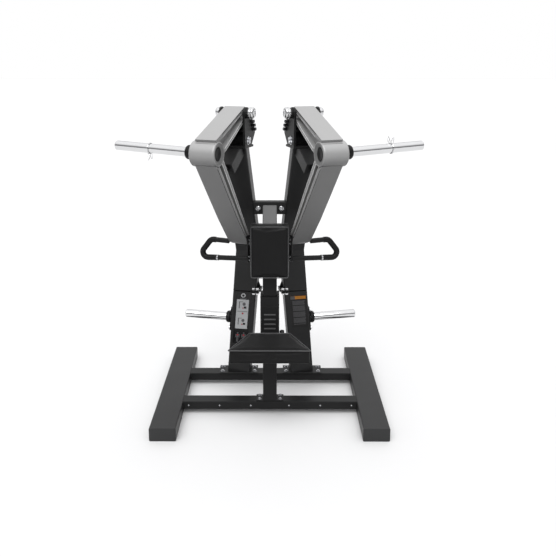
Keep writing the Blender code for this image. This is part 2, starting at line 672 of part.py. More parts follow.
# ------------------------------------------------------------------ centre
def build_centre():
    zc = (1.210, 1.284)
    yc = (Y(4.200), Y(4.250))

    def inner_side(y, z):
        """How far from the centre plane the columns' inner sides are, less a gap."""
        f = (z - COL_BEND[2]) / (COL_TOP[2] - COL_BEND[2])
        x = -(COL_BEND[0] + (COL_TOP[0] - COL_BEND[0]) * f) - COL_W / 2 * math.cos(COL_TURN)
        d = Y(COL_BEND[1] + (COL_TOP[1] - COL_BEND[1]) * f) - COL_W / 2 * math.sin(COL_TURN)
        return x - (y - d) * math.tan(COL_TURN) - GAP / math.cos(COL_TURN) - 0.0002
    skins = []
    for inset, r in ((0.0, 0.004), (TUBE_WALL, 0.002)):
        cut_yz = [(sum(yc) / 2 + a, sum(zc) / 2 + b) for a, b in
                  rounded(yc[1] - yc[0] - 2 * inset, zc[1] - zc[0] - 2 * inset, r)]
        skins.append([[(k * inner_side(y, z), y, z) for y, z in cut_yz] for k in (-1, 1)])
    solid("upper_cross_beam", *pipe(*skins), "powder_dark")

    # post on the front cross tube
    box("post_foot_plate", (-0.0815, 0.0815), (Y(4.1325), Y(4.2095)),
        (CROSS_Z[1] + GAP, CROSS_Z[1] + GAP + PLATE_T), "powder_dark", edge=0.0012)
    z0 = CROSS_Z[1] + 2 * GAP + PLATE_T
    py = Y(4.131) + POST_D / 2
    outer = [[(a, py + b, z) for a, b in rounded(POST_W, POST_D, 0.004)] for z in (z0, POST_TOP_Z)]
    inner = [[(a, py + b, z) for a, b in rounded(POST_W - 2 * TUBE_WALL, POST_D - 2 * TUBE_WALL, 0.002)]
             for z in (z0, POST_TOP_Z)]
    solid("center_post", *pipe(outer, inner), "powder_dark")

    # brace that leans back from the post's top to the cross beam
    y_front, z_foot = Y(4.131), POST_TOP_Z + GAP
    y_head, z_head = Y(4.200) - GAP, 1.264
    foot, head = 0.066, 0.058
    skins = []
    for inset, r in ((0.0, 0.004), (TUBE_WALL, 0.002)):
        lower = [(a, y_front + foot / 2 + b, z_foot) for a, b in
                 rounded(POST_W - 2 * inset, foot - 2 * inset, r)]
        upper = [(a, y_head, z_head - head / 2 - b) for a, b in
                 rounded(POST_W - 2 * inset, head - 2 * inset, r)]
        skins.append([lower, upper])
    solid("post_top_brace", *pipe(*skins), "powder_black")

    # seat carriage: sleeve that slides on the post
    cw = CARRIAGE_W
    cy = py
    cd = POST_D + 2 * 0.0135
    outer = [[(a, cy + b, z) for a, b in rounded(cw, cd, 0.006)] for z in CARRIAGE_Z]
    inner = [[(a, cy + b, z) for a, b in rounded(POST_W + 0.0010, POST_D + 0.0010, 0.003)]
             for z in CARRIAGE_Z]
    carriage = solid("seat_carriage", *pipe(outer, inner), "powder_dark")
    front = cy - cd / 2
    hole = turned("pin_hole", (0.030, cy, 0.500), (1, 0, 0),
                  [(0, 0), (0, 0.0064), (0.06, 0.0064), (0.06, 0)], None, None, 16, cutter=True)
    cut(carriage, hole)

    # bracket under the seat: arm and plate in one weldment
    top = SEAT_TOP_Z - SEAT_T - GAP
    y_plate = (Y(SEAT_FRONT_Y) + 0.040, Y(SEAT_BACK_Y) - 0.012)
    rings = []
    for z in (top - 0.006, top):
        rings.append([(-0.150, y_plate[0], z), (0.150, y_plate[0], z), (0.085, y_plate[1], z),
                      (-0.085, y_plate[1], z)])
    bracket = solid("seat_bracket", *loft(rings), "powder_dark")
    web = box("seat_web", (-0.030, 0.030), (y_plate[0] + 0.020, front - GAP), (top - 0.046, top - 0.003),
              None, edge=0, cutter=True)
    join(bracket, web)

    # cushion
    rings = []
    for z, inset in ((top + GAP, 0.003), (top + 0.010, 0.0), (SEAT_TOP_Z - 0.010, 0.0), (SEAT_TOP_Z, 0.006)):
        ya, yb2 = Y(SEAT_FRONT_Y) + inset, Y(SEAT_BACK_Y) - inset
        wa, wb = SEAT_FRONT_W / 2 - inset, SEAT_BACK_W / 2 - inset
        r = 0.012
        rings.append([(-wa + r, ya, z), (wa - r, ya, z), (wa, ya + r, z), (wb, yb2 - r, z), (wb - r, yb2, z),
                      (-wb + r, yb2, z), (-wb, yb2 - r, z), (-wa, ya + r, z)])
    solid("seat_cushion", *loft(rings), "upholstery")

    # sprung pull pin in the carriage's side
    turned("seat_pull_pin", (POST_W / 2 + 0.0010, cy, 0.500), (1, 0, 0),
           [(0, 0), (0, 0.0045), (0.0015, 0.0060), (0.0140, 0.0060), (0.0165, 0.0060), (0.0165, 0.0110),
            (0.0200, 0.0165), (0.0400, 0.0165), (0.0430, 0.0130), (0.0430, 0)],
           "black_plastic", None, 16)

    # chest pad and the backing plate that fixes it to the post
    pz = sum(PAD_Z) / 2
    plate_y = (Y(PAD_Y[1]) + GAP, Y(4.131) - GAP)
    rings = []
    for y in plate_y:
        rings.append([(a, y, pz + b) for a, b in rounded(0.150, 0.230, 0.010, 1)])
    solid("chest_pad_plate", *loft(rings), "powder_dark")
    rings = []
    for y, inset in ((Y(PAD_Y[0]), 0.010), (Y(PAD_Y[0]) + 0.005, 0.003), (Y(PAD_Y[0]) + 0.014, 0.0),
                     (Y(PAD_Y[1]) - 0.006, 0.0), (Y(PAD_Y[1]), 0.004)):
        rings.append([(a, y, pz + b) for a, b in
                      rounded(PAD_W - 2 * inset, PAD_Z[1] - PAD_Z[0] - 2 * inset, 0.012, 2)])
    solid("chest_pad", *loft(rings), "upholstery")


# ------------------------------------------------------------------ assembly
build_base()
build_columns()
build_centre()
for side, s in SIDES:
    build_storage(side, s)
    frame = arm_empty(side, s)
    build_pivot_bracket(side, s, frame)
    build_stop(side, s, frame)
    build_bumper(side, s, frame)
    along, axis = build_arm(side, s, frame)
    build_clip(side, s, frame, along, axis, 0.247 if s < 0 else 0.2595)

bpy.context.view_layer.update()
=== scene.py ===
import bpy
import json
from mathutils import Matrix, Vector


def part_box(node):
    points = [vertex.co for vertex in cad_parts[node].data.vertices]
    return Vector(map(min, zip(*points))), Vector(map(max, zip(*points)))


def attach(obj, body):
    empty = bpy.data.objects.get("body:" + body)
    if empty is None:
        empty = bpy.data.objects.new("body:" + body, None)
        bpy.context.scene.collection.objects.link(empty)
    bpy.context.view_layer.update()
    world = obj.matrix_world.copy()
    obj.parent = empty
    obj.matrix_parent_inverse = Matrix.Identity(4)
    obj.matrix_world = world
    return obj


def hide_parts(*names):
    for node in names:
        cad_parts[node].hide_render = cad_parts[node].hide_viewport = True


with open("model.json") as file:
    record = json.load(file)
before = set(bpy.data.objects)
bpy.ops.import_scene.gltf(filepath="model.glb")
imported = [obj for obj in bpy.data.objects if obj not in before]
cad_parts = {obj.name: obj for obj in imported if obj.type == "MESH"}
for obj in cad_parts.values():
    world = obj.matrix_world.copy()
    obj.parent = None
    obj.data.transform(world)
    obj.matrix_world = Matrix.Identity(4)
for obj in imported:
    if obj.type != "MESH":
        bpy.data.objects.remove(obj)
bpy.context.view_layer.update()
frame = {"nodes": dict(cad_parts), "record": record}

import json
import math

import bmesh
import bpy
from mathutils import Matrix, Vector, noise

# ------------------------------------------------------------------ dimensions
# The same numbers as the CAD source, in metres, in the row frame.
Y0 = -4.2981
GAP = 0.0003
COL_W, COL_D = 0.145, 0.080
COL_TURN = math.radians(10.0)
COL_FOOT = (-0.207, 4.513, 0.0886)
COL_BEND = (-0.1358, 4.340, 0.953)
COL_TOP = (-0.1993, 4.061, 1.6157)
COL_JOINT_Z = 0.686
ARM_SPLAY = math.radians(20.4)
PIVOT = (0.139, 4.037 + Y0, 1.806)
ARM_W = 0.1164
RECESS = 0.012
POCKET = 0.030
HUB_UZ = (0.317, -0.183)
HUB_R = 0.0665
HUB_M = (-0.002, 0.140)
SHAFT_R = 0.0125
HORN_R = 0.025
TOP_HORN_LEN = 0.4555
TOP_HORN_TILT = math.radians(2.2)
FRONT_LINE = ((0.3646, -0.2256), (0.2606, -0.3613), (0.0892, -0.5790), (-0.0499, -0.7386))
REAR_LINE = ((0.2879, -0.1885), (0.1452, -0.3862), (-0.0035, -0.6030), (-0.0758, -0.7038))
STOP_FACE = ((0.1426, -0.2608), (0.1020, -0.3170))
SIDES = (("left", -1), ("right", 1))
WORLD = Matrix.Identity(4)


def Yd(d):
    return d + Y0


# ------------------------------------------------------------------ materials
def _coords(tree, scale):
    tc = tree.nodes.new("ShaderNodeTexCoord")
    mp = tree.nodes.new("ShaderNodeMapping")
    mp.inputs["Scale"].default_value = scale if isinstance(scale, tuple) else (scale,) * 3
    tree.links.new(tc.outputs["Object"], mp.inputs["Vector"])
    return mp.outputs["Vector"]


def _noise(tree, scale, detail=3.0, rough=0.5, stretch=None):
    n = tree.nodes.new("ShaderNodeTexNoise")
    n.inputs["Scale"].default_value = scale
    n.inputs["Detail"].default_value = detail
    n.inputs["Roughness"].default_value = rough
    tree.links.new(_coords(tree, stretch or 1.0), n.inputs["Vector"])
    return n


def _range(tree, socket, lo, hi, a=0.3, b=0.7):
    r = tree.nodes.new("ShaderNodeMapRange")
    r.inputs["From Min"].default_value = a
    r.inputs["From Max"].default_value = b
    r.inputs["To Min"].default_value = lo
    r.inputs["To Max"].default_value = hi
    tree.links.new(socket, r.inputs["Value"])
    return r.outputs["Result"]


def _blend(tree, factor, a, b):
    m = tree.nodes.new("ShaderNodeMix")
    m.data_type = "RGBA"
    m.inputs["A"].default_value = (*a, 1)
    m.inputs["B"].default_value = (*b, 1)
    tree.links.new(factor, m.inputs["Factor"])
    return m.outputs["Result"]


def _bump(tree, height, strength, distance, normal=None):
    b = tree.nodes.new("ShaderNodeBump")
    b.inputs["Strength"].default_value = strength
    b.inputs["Distance"].default_value = distance
    tree.links.new(height, b.inputs["Height"])
    if normal:
        tree.links.new(normal, b.inputs["Normal"])
    return b.outputs["Normal"]


def surface(name, colour, rough, metal=0.0, spec=0.5, tint=0.08, rough_var=0.05, grain=900.0,
            grain_depth=0.00006, grain_strength=0.35, cloud=5.0, coat=0.0, stretch=None, kind="noise",
            sheen=0.0):
    """Painted metal, plastic, rubber or vinyl: base colour that drifts a little, uneven gloss and a fine grain."""
    mat = bpy.data.materials.new(name)
    mat.use_nodes = True
    tree = mat.node_tree
    sh = tree.nodes["Principled BSDF"]
    sh.inputs["Metallic"].default_value = metal
    sh.inputs["Specular IOR Level"].default_value = spec
    if coat:
        sh.inputs["Coat Weight"].default_value = coat
        sh.inputs["Coat Roughness"].default_value = 0.12
    if sheen:
        sh.inputs["Sheen Weight"].default_value = sheen
        sh.inputs["Sheen Roughness"].default_value = 0.5
    broad = _noise(tree, cloud, 4.0, 0.55)
    lo = tuple(c * (1 - tint) for c in colour)
    hi = tuple(c * (1 + tint) for c in colour)
    tree.links.new(_blend(tree, _range(tree, broad.outputs["Fac"], 0, 1), lo, hi), sh.inputs["Base Color"])
    speck = _noise(tree, grain * 0.5, 2.0, 0.6, stretch)
    tree.links.new(_range(tree, speck.outputs["Fac"], rough - rough_var, rough + rough_var),
                   sh.inputs["Roughness"])
    if kind == "leather":
        v = tree.nodes.new("ShaderNodeTexVoronoi")
        v.feature = "DISTANCE_TO_EDGE"
        v.inputs["Scale"].default_value = grain
        v.inputs["Randomness"].default_value = 1.0
        tree.links.new(_coords(tree, 1.0), v.inputs["Vector"])
        pebbles = _range(tree, v.outputs["Distance"], 0, 1, 0.0, 0.22)
        normal = _bump(tree, pebbles, grain_strength, grain_depth)
        normal = _bump(tree, _noise(tree, grain * 2.3, 3.0).outputs["Fac"], 0.15, grain_depth, normal)
    else:
        fine = _noise(tree, grain, 3.0, 0.6, stretch)
        normal = _bump(tree, fine.outputs["Fac"], grain_strength, grain_depth)
    tree.links.new(normal, sh.inputs["Normal"])
    mat.diffuse_color = (*colour, 1)
    return mat


M = {
    # floor tubes and columns: satin charcoal powder coat with a fine orange peel
    "powder_black": surface("powder_coat_charcoal", (0.0215, 0.0216, 0.0220), 0.42, spec=0.28, tint=0.10,
                            grain=700, grain_depth=0.00010, grain_strength=0.30),
    "powder_dark": surface("powder_coat_black", (0.0120, 0.0121, 0.0123), 0.40, spec=0.20, tint=0.10,
                           grain=700, grain_depth=0.00010, grain_strength=0.30),
    "arm_silver": surface("silver_coat", (0.345, 0.344, 0.343), 0.38, metal=0.12, spec=0.32, tint=0.025,
                          rough_var=0.035, grain=1600, grain_depth=0.00004, grain_strength=0.22, cloud=3.0),
    # the hub: a lighter, glossier copy of the arm silver, painted highlight that brightens it
    "hub_silver": surface("silver_coat_hub_painted_highlight", (0.374, 0.373, 0.372), 0.40, metal=0.14, spec=0.40, tint=0.025,
                          rough_var=0.035, grain=1600, grain_depth=0.00004, grain_strength=0.22, cloud=3.0),
    # darker copy of the silver for the hub's end dish: painted shade of the recess
    "dish_grey": surface("silver_dish_painted_shade", (0.22, 0.22, 0.219), 0.42, metal=0.45, spec=0.4, tint=0.03,
                         rough_var=0.04, grain=1600, grain_depth=0.00004, grain_strength=0.2, cloud=6.0),
    # lighter copy of the silver coat: painted highlight on the pocket lip edges
    "arm_edge": surface("silver_edge_painted_highlight", (0.74, 0.74, 0.735), 0.30, metal=0.55, spec=0.6, tint=0.03,
                        rough_var=0.04, grain=1600, grain_depth=0.00003, grain_strength=0.2, cloud=6.0),
    # dark bead material: painted shade standing in for the groove beside the beams' outer faces
    "joint_dark": surface("groove_line_painted_shade", (0.016, 0.016, 0.016), 0.6, spec=0.2, tint=0.1, grain=900,
                          grain_depth=0.00003),
    "chrome": surface("polished_chrome", (0.70, 0.702, 0.708), 0.10, metal=1.0, tint=0.02, rough_var=0.03,
                      grain=220, grain_depth=0.00002, grain_strength=0.10, cloud=8.0),
    "zinc": surface("zinc_plated_bolts", (0.48, 0.485, 0.50), 0.26, metal=1.0, tint=0.10, rough_var=0.08,
                    grain=900, grain_depth=0.00003, grain_strength=0.25, cloud=60.0),
    "black_oxide": surface("black_oxide_bolts", (0.028, 0.028, 0.030), 0.34, metal=0.6, tint=0.12,
                           rough_var=0.06, grain=900, grain_depth=0.00003, cloud=60.0),
    "black_plastic": surface("moulded_black_plastic", (0.0070, 0.0070, 0.0073), 0.42, spec=0.18, tint=0.10,
                             grain=1400, grain_depth=0.00006, grain_strength=0.4),
    "cap_plastic": surface("end_cap_plastic", (0.0250, 0.0253, 0.0260), 0.52, spec=0.42, tint=0.08,
                           grain=1100, grain_depth=0.00008, grain_strength=0.45),
    "grip_rubber": surface("grip_rubber", (0.0060, 0.0060, 0.0063), 0.50, spec=0.22, tint=0.12,
                           rough_var=0.07, grain=1300, grain_depth=0.00010, grain_strength=0.5),
    "upholstery": surface("black_vinyl", (0.0078, 0.0078, 0.0080), 0.44, spec=0.15, tint=0.14,
                          rough_var=0.06, grain=620, grain_depth=0.00016, grain_strength=0.45,
                          kind="leather", sheen=0.04),
    # piping in a lighter copy of the vinyl: painted highlight along the upholstery edges
    "piping_painted_highlight": surface("vinyl_piping_painted_highlight", (0.055, 0.055, 0.057), 0.34, spec=0.55, tint=0.10,
                      grain=900, grain_depth=0.00008, grain_strength=0.35),
    "label_black": surface("label_gloss_black", (0.0050, 0.0050, 0.0055), 0.25, spec=0.35, tint=0.05,
                           rough_var=0.03, grain=500, grain_depth=0.00001),
    "label_white": surface("label_white", (0.60, 0.61, 0.62), 0.35, spec=0.4, tint=0.03, rough_var=0.03,
                           grain=500, grain_depth=0.00001),
    "label_grey": surface("label_grey", (0.13, 0.13, 0.135), 0.40, spec=0.3, tint=0.05, rough_var=0.03,
                          grain=500, grain_depth=0.00001),
    "label_dark": surface("label_dark_grey", (0.0135, 0.0130, 0.0130), 0.42, spec=0.3, tint=0.05,
                          rough_var=0.03, grain=500, grain_depth=0.00001),
    "label_orange": surface("label_orange", (0.62, 0.24, 0.03), 0.38, spec=0.35, tint=0.04, rough_var=0.03,
                            grain=500, grain_depth=0.00001),
    "label_red": surface("label_red", (0.42, 0.015, 0.03), 0.38, spec=0.35, tint=0.04, rough_var=0.03,
                         grain=500, grain_depth=0.00001),
}


# ------------------------------------------------------------------ mesh tools
def piece(name, verts, faces, mat, body, angle=32.0, slot=None, flip=True):
    mesh = bpy.data.meshes.new(name)
    bm = bmesh.new()
    made = [bm.verts.new(v) for v in verts]
    for f in faces:
        try:
            bm.faces.new([made[i] for i in f])
        except ValueError:
            pass
    if flip:
        bmesh.ops.recalc_face_normals(bm, faces=bm.faces[:])
    bm.to_mesh(mesh)
    bm.free()
    ob = bpy.data.objects.new(name, mesh)
    bpy.context.scene.collection.objects.link(ob)
    mesh.materials.append(M[mat] if isinstance(mat, str) else mat)
    mesh.shade_smooth()
    mesh.set_sharp_from_angle(angle=math.radians(angle))
    if body:
        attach(ob, body)
    return ob


def soften(ob, width, segments=3, angle=30.0):
    mod = ob.modifiers.new("soft_edges", "BEVEL")
    mod.width = width
    mod.segments = segments
    mod.limit_method = "ANGLE"
    mod.angle_limit = math.radians(angle)
    mod.use_clamp_overlap = True
    mod.harden_normals = True
    return ob


def apply_all(ob):
    """Bake the modifiers into the mesh."""
    dg = bpy.context.evaluated_depsgraph_get()
    mesh = bpy.data.meshes.new_from_object(ob.evaluated_get(dg))
    ob.modifiers.clear()
    ob.data = mesh
    return ob


def loft(rings, ends=True):
    n = len(rings[0])
    verts = [tuple(p) for ring in rings for p in ring]
    faces = []
    for k in range(len(rings) - 1):
        for i in range(n):
            j = (i + 1) % n
            faces.append((k * n + i, k * n + j, (k + 1) * n + j, (k + 1) * n + i))
    if ends:
        faces.append(tuple(range(n - 1, -1, -1)))
        faces.append(tuple((len(rings) - 1) * n + i for i in range(n)))
    return verts, faces


def lathe(origin, axis, profile, segments=64, start=None):
    """Profile is (distance along the axis, radius); radius 0 closes an end, else the loop closes on itself."""
    axis = Vector(axis).normalized()
    side = axis.cross(Vector(start) if start else Vector((0, 0, 1)))
    if side.length < 1e-6:
        side = Vector((1, 0, 0))
    side.normalize()
    up = side.cross(axis).normalized()
    origin = Vector(origin)
    verts, rows, faces = [], [], []
    for s, r in profile:
        if r <= 1e-7:
            rows.append([len(verts)])
            verts.append(tuple(origin + axis * s))
        else:
            rows.append(list(range(len(verts), len(verts) + segments)))
            for k in range(segments):
                a = 2 * math.pi * k / segments
                verts.append(tuple(origin + axis * s + side * (r * math.cos(a)) + up * (r * math.sin(a))))
    pairs = list(zip(rows[:-1], rows[1:]))
    if profile[0][1] > 1e-7 and profile[-1][1] > 1e-7:
        pairs.append((rows[-1], rows[0]))
    for a, b in pairs:
        for k in range(segments):
            j = (k + 1) % segments
            if len(a) == 1 and len(b) == 1:
                continue
            if len(a) == 1:
                faces.append((a[0], b[k], b[j]))
            elif len(b) == 1:
                faces.append((a[k], b[0], a[j]))
            else:
                faces.append((a[k], b[k], b[j], a[j]))
    return verts, faces


def rounded_profile(points, radius=0.0015, steps=4):
    """Corners of a lathe profile turned into small arcs."""
    out = [points[0]]
    for k in range(1, len(points) - 1):
        p, a, b = Vector(points[k]), Vector(points[k - 1]), Vector(points[k + 1])
        la, lb = (a - p).length, (b - p).length
        if la < 1e-6 or lb < 1e-6:
            out.append(tuple(p))
            continue
        reach = min(radius, la * 0.45, lb * 0.45)
        p0, p1 = p + (a - p) / la * reach, p + (b - p) / lb * reach
        for i in range(steps + 1):
            t = i / steps
            q = p0 * (1 - t) ** 2 + p * 2 * t * (1 - t) + p1 * t ** 2
            out.append((q.x, max(q.y, 0)))
    out.append(points[-1])
    return out


def fillet_path(points, radii, steps=10):
    pts = [Vector(p) for p in points]
    out = [pts[0]]
    for k in range(1, len(pts) - 1):
        a = (pts[k - 1] - pts[k]).normalized()
        b = (pts[k + 1] - pts[k]).normalized()
        half = a.angle(b) / 2
        reach = radii[k - 1] / math.tan(half)
        centre = pts[k] + (a + b).normalized() * (radii[k - 1] / math.sin(half))
        p0, p1 = pts[k] + a * reach, pts[k] + b * reach
        r0, r1 = p0 - centre, p1 - centre
        total = r0.angle(r1)
        turn = r0.cross(r1).normalized()
        for i in range(steps + 1):
            out.append(centre + Matrix.Rotation(total * i / steps, 3, turn) @ r0)
    out.append(pts[-1])
    return out


def sweep(path, radius, segments=24, normal=None, radii=None):
    rings = []
    path = [Vector(p) for p in path]
    if normal is None:
        normal = (path[1] - path[0]).cross(path[len(path) // 2] - path[0]).normalized()
    normal = Vector(normal)
    for k, p in enumerate(path):
        if k == 0:
            t = path[1] - path[0]
        elif k == len(path) - 1:
            t = path[-1] - path[-2]
        else:
            t = (path[k + 1] - p).normalized() + (p - path[k - 1]).normalized()
        t.normalize()
        side = normal.cross(t).normalized()
        nn = t.cross(side).normalized()
        r = radii[k] if radii else radius
        rings.append([tuple(p + nn * (r * math.cos(2 * math.pi * i / segments))
                            + side * (r * math.sin(2 * math.pi * i / segments))) for i in range(segments)])
    return rings


def merge(parts):
    verts, faces = [], []
    for v, f in parts:
        base = len(verts)
        verts += list(v)
        faces += [tuple(base + i for i in g) for g in f]
    return verts, faces


def boxes(spec, matrix=WORLD):
    """Merged boxes: each ((x0, x1), (y0, y1), (z0, z1))."""
    parts = []
    for x, y, z in spec:
        v = [tuple(matrix @ Vector((a, b, c))) for c in z for b in y for a in x]
        parts.append((v, [(0, 2, 3, 1), (4, 5, 7, 6), (0, 1, 5, 4), (2, 6, 7, 3), (0, 4, 6, 2), (1, 3, 7, 5)]))
    return merge(parts)


def hex_bolt(origin, axis, size=0.016, height=0.007, washer=True, point=0.0, socket=False):
    """Bolt head: washer, chamfered hexagon or round socket head."""
    parts = []
    base = 0.0
    if washer:
        parts.append(lathe(origin, axis, rounded_profile([(0, 0), (0, size * 0.82), (0.0016, size * 0.82),
                                                          (0.0016, 0)], 0.0005, 2), 28))
        base = 0.0014
    if socket:
        r = size * 0.52
        parts.append(lathe(origin, axis, rounded_profile(
            [(base, 0), (base, r), (base + height, r), (base + height, r * 0.55), (base + height * 0.45, r * 0.5),
             (base + height * 0.45, 0)], 0.0010, 3), 28))
    else:
        r = size / math.sqrt(3)
        a = Vector(axis).normalized()
        side = a.cross(Vector((0, 0, 1)) if abs(a.z) < 0.9 else Vector((1, 0, 0))).normalized()
        up = side.cross(a)
        rings = []
        for d, k in ((base, 1.0), (base + height * 0.82, 1.0), (base + height, 0.86)):
            rings.append([tuple(Vector(origin) + a * d + (side * math.cos(t) + up * math.sin(t)) * r * k)
                          for t in (math.radians(60 * i + point) for i in range(6))])
        parts.append(loft(rings))
    return merge(parts)


def arm_matrix(s):
    return Matrix.Translation((s * PIVOT[0], PIVOT[1], PIVOT[2])) @ Matrix.Rotation(s * ARM_SPLAY, 4, "Z")


def on_leg(z):
    f = (z - COL_FOOT[2]) / (COL_BEND[2] - COL_FOOT[2])
    return tuple(COL_FOOT[i] + (COL_BEND[i] - COL_FOOT[i]) * f for i in range(2)) + (z,)


def lerp(a, b, t):
    return tuple(a[i] + (b[i] - a[i]) * t for i in range(len(a)))


def along_line(points, t):
    lengths = [math.hypot(b[0] - a[0], b[1] - a[1]) for a, b in zip(points[:-1], points[1:])]
    left = t * sum(lengths)
    for k, length in enumerate(lengths):
        if left <= length or k == len(lengths) - 1:
            return lerp(points[k], points[k + 1], left / length)
        left -= length


# ------------------------------------------------------------------ CAD nodes that stay
SLOT_MATERIAL = {"powder_black": "powder_black", "powder_dark": "powder_dark", "arm_silver": "arm_silver",
                 "chrome": "chrome", "black_plastic": "black_plastic", "grip_rubber": "grip_rubber",
                 "upholstery": "upholstery"}
node_slot = {e["node"]: e["material_slot"] for e in frame["record"]["subparts"]}
# lighter copy of the black powder coat: painted highlight for faces that catch the light, on the post-top brace and the
# carriage ribs
M["powder_light"] = surface("powder_coat_painted_highlight", (0.072, 0.0722, 0.073), 0.42, spec=0.45, tint=0.08, grain=700,
                            grain_depth=0.00010, grain_strength=0.30)
BEVELS = {"floor_tube": 0.0016, "cross_tube": 0.0014, "end_cap": 0.0010, "column": 0.0016,
          "foot_plate": 0.0012, "bracket": 0.0014, "stop_bar": 0.0014, "post": 0.0012, "beam": 0.0014,
          "plate": 0.0008, "seat_bracket": 0.0016, "carriage": 0.0014}
for name, ob in frame["nodes"].items():
    ob.data.materials.clear()
    key = SLOT_MATERIAL[node_slot[name]]
    if name.endswith("end_cap"):
        key = "cap_plastic"
    # the brace is black powder coat; its lighter copy paints the light on its upward-tilted face
    if name == "post_top_brace":
        key = "powder_light"
    ob.data.materials.append(M[key])
    ob.data.shade_smooth()
    ob.data.set_sharp_from_angle(angle=math.radians(32))
    for word, width in BEVELS.items():
        if word in name:
            soften(ob, width, 3, 28)
            break


# ------------------------------------------------------------------ arms
def beam_ring(o, i, f_front, f_rear, s, mtx):
    length = math.hypot(o[0] - i[0], o[1] - i[1])
    tf, tr = 1 - f_front / length, f_rear / length
    w, r, q = ARM_W, RECESS, POCKET
    pts = [(0.0, 0), (w, 0), (w, tr), (w - r, tr), (w - r, tf), (w, tf), (w, 1), (0, 1), (0, tf), (q, tf),
           (q, tr), (0, tr)]
    return [tuple(mtx @ Vector((s * m, -(i[0] + (o[0] - i[0]) * t), i[1] + (o[1] - i[1]) * t)))
            for m, t in pts]


def cutter(name, verts, faces):
    ob = piece(name, verts, faces, "arm_silver", None)
    return ob


def boolean(ob, other):
    mod = ob.modifiers.new("cut", "BOOLEAN")
    mod.operation = "DIFFERENCE"
    mod.solver = "EXACT"
    mod.object = other
    return ob


def finish_cut(ob, *cutters):
    """Apply the cuts, then take the cutters away."""
    bpy.context.view_layer.update()
    apply_all(ob)
    for c in cutters:
        bpy.data.objects.remove(c, do_unlink=True)
    ob.data.shade_smooth()
    ob.data.set_sharp_from_angle(angle=math.radians(28))
    return ob


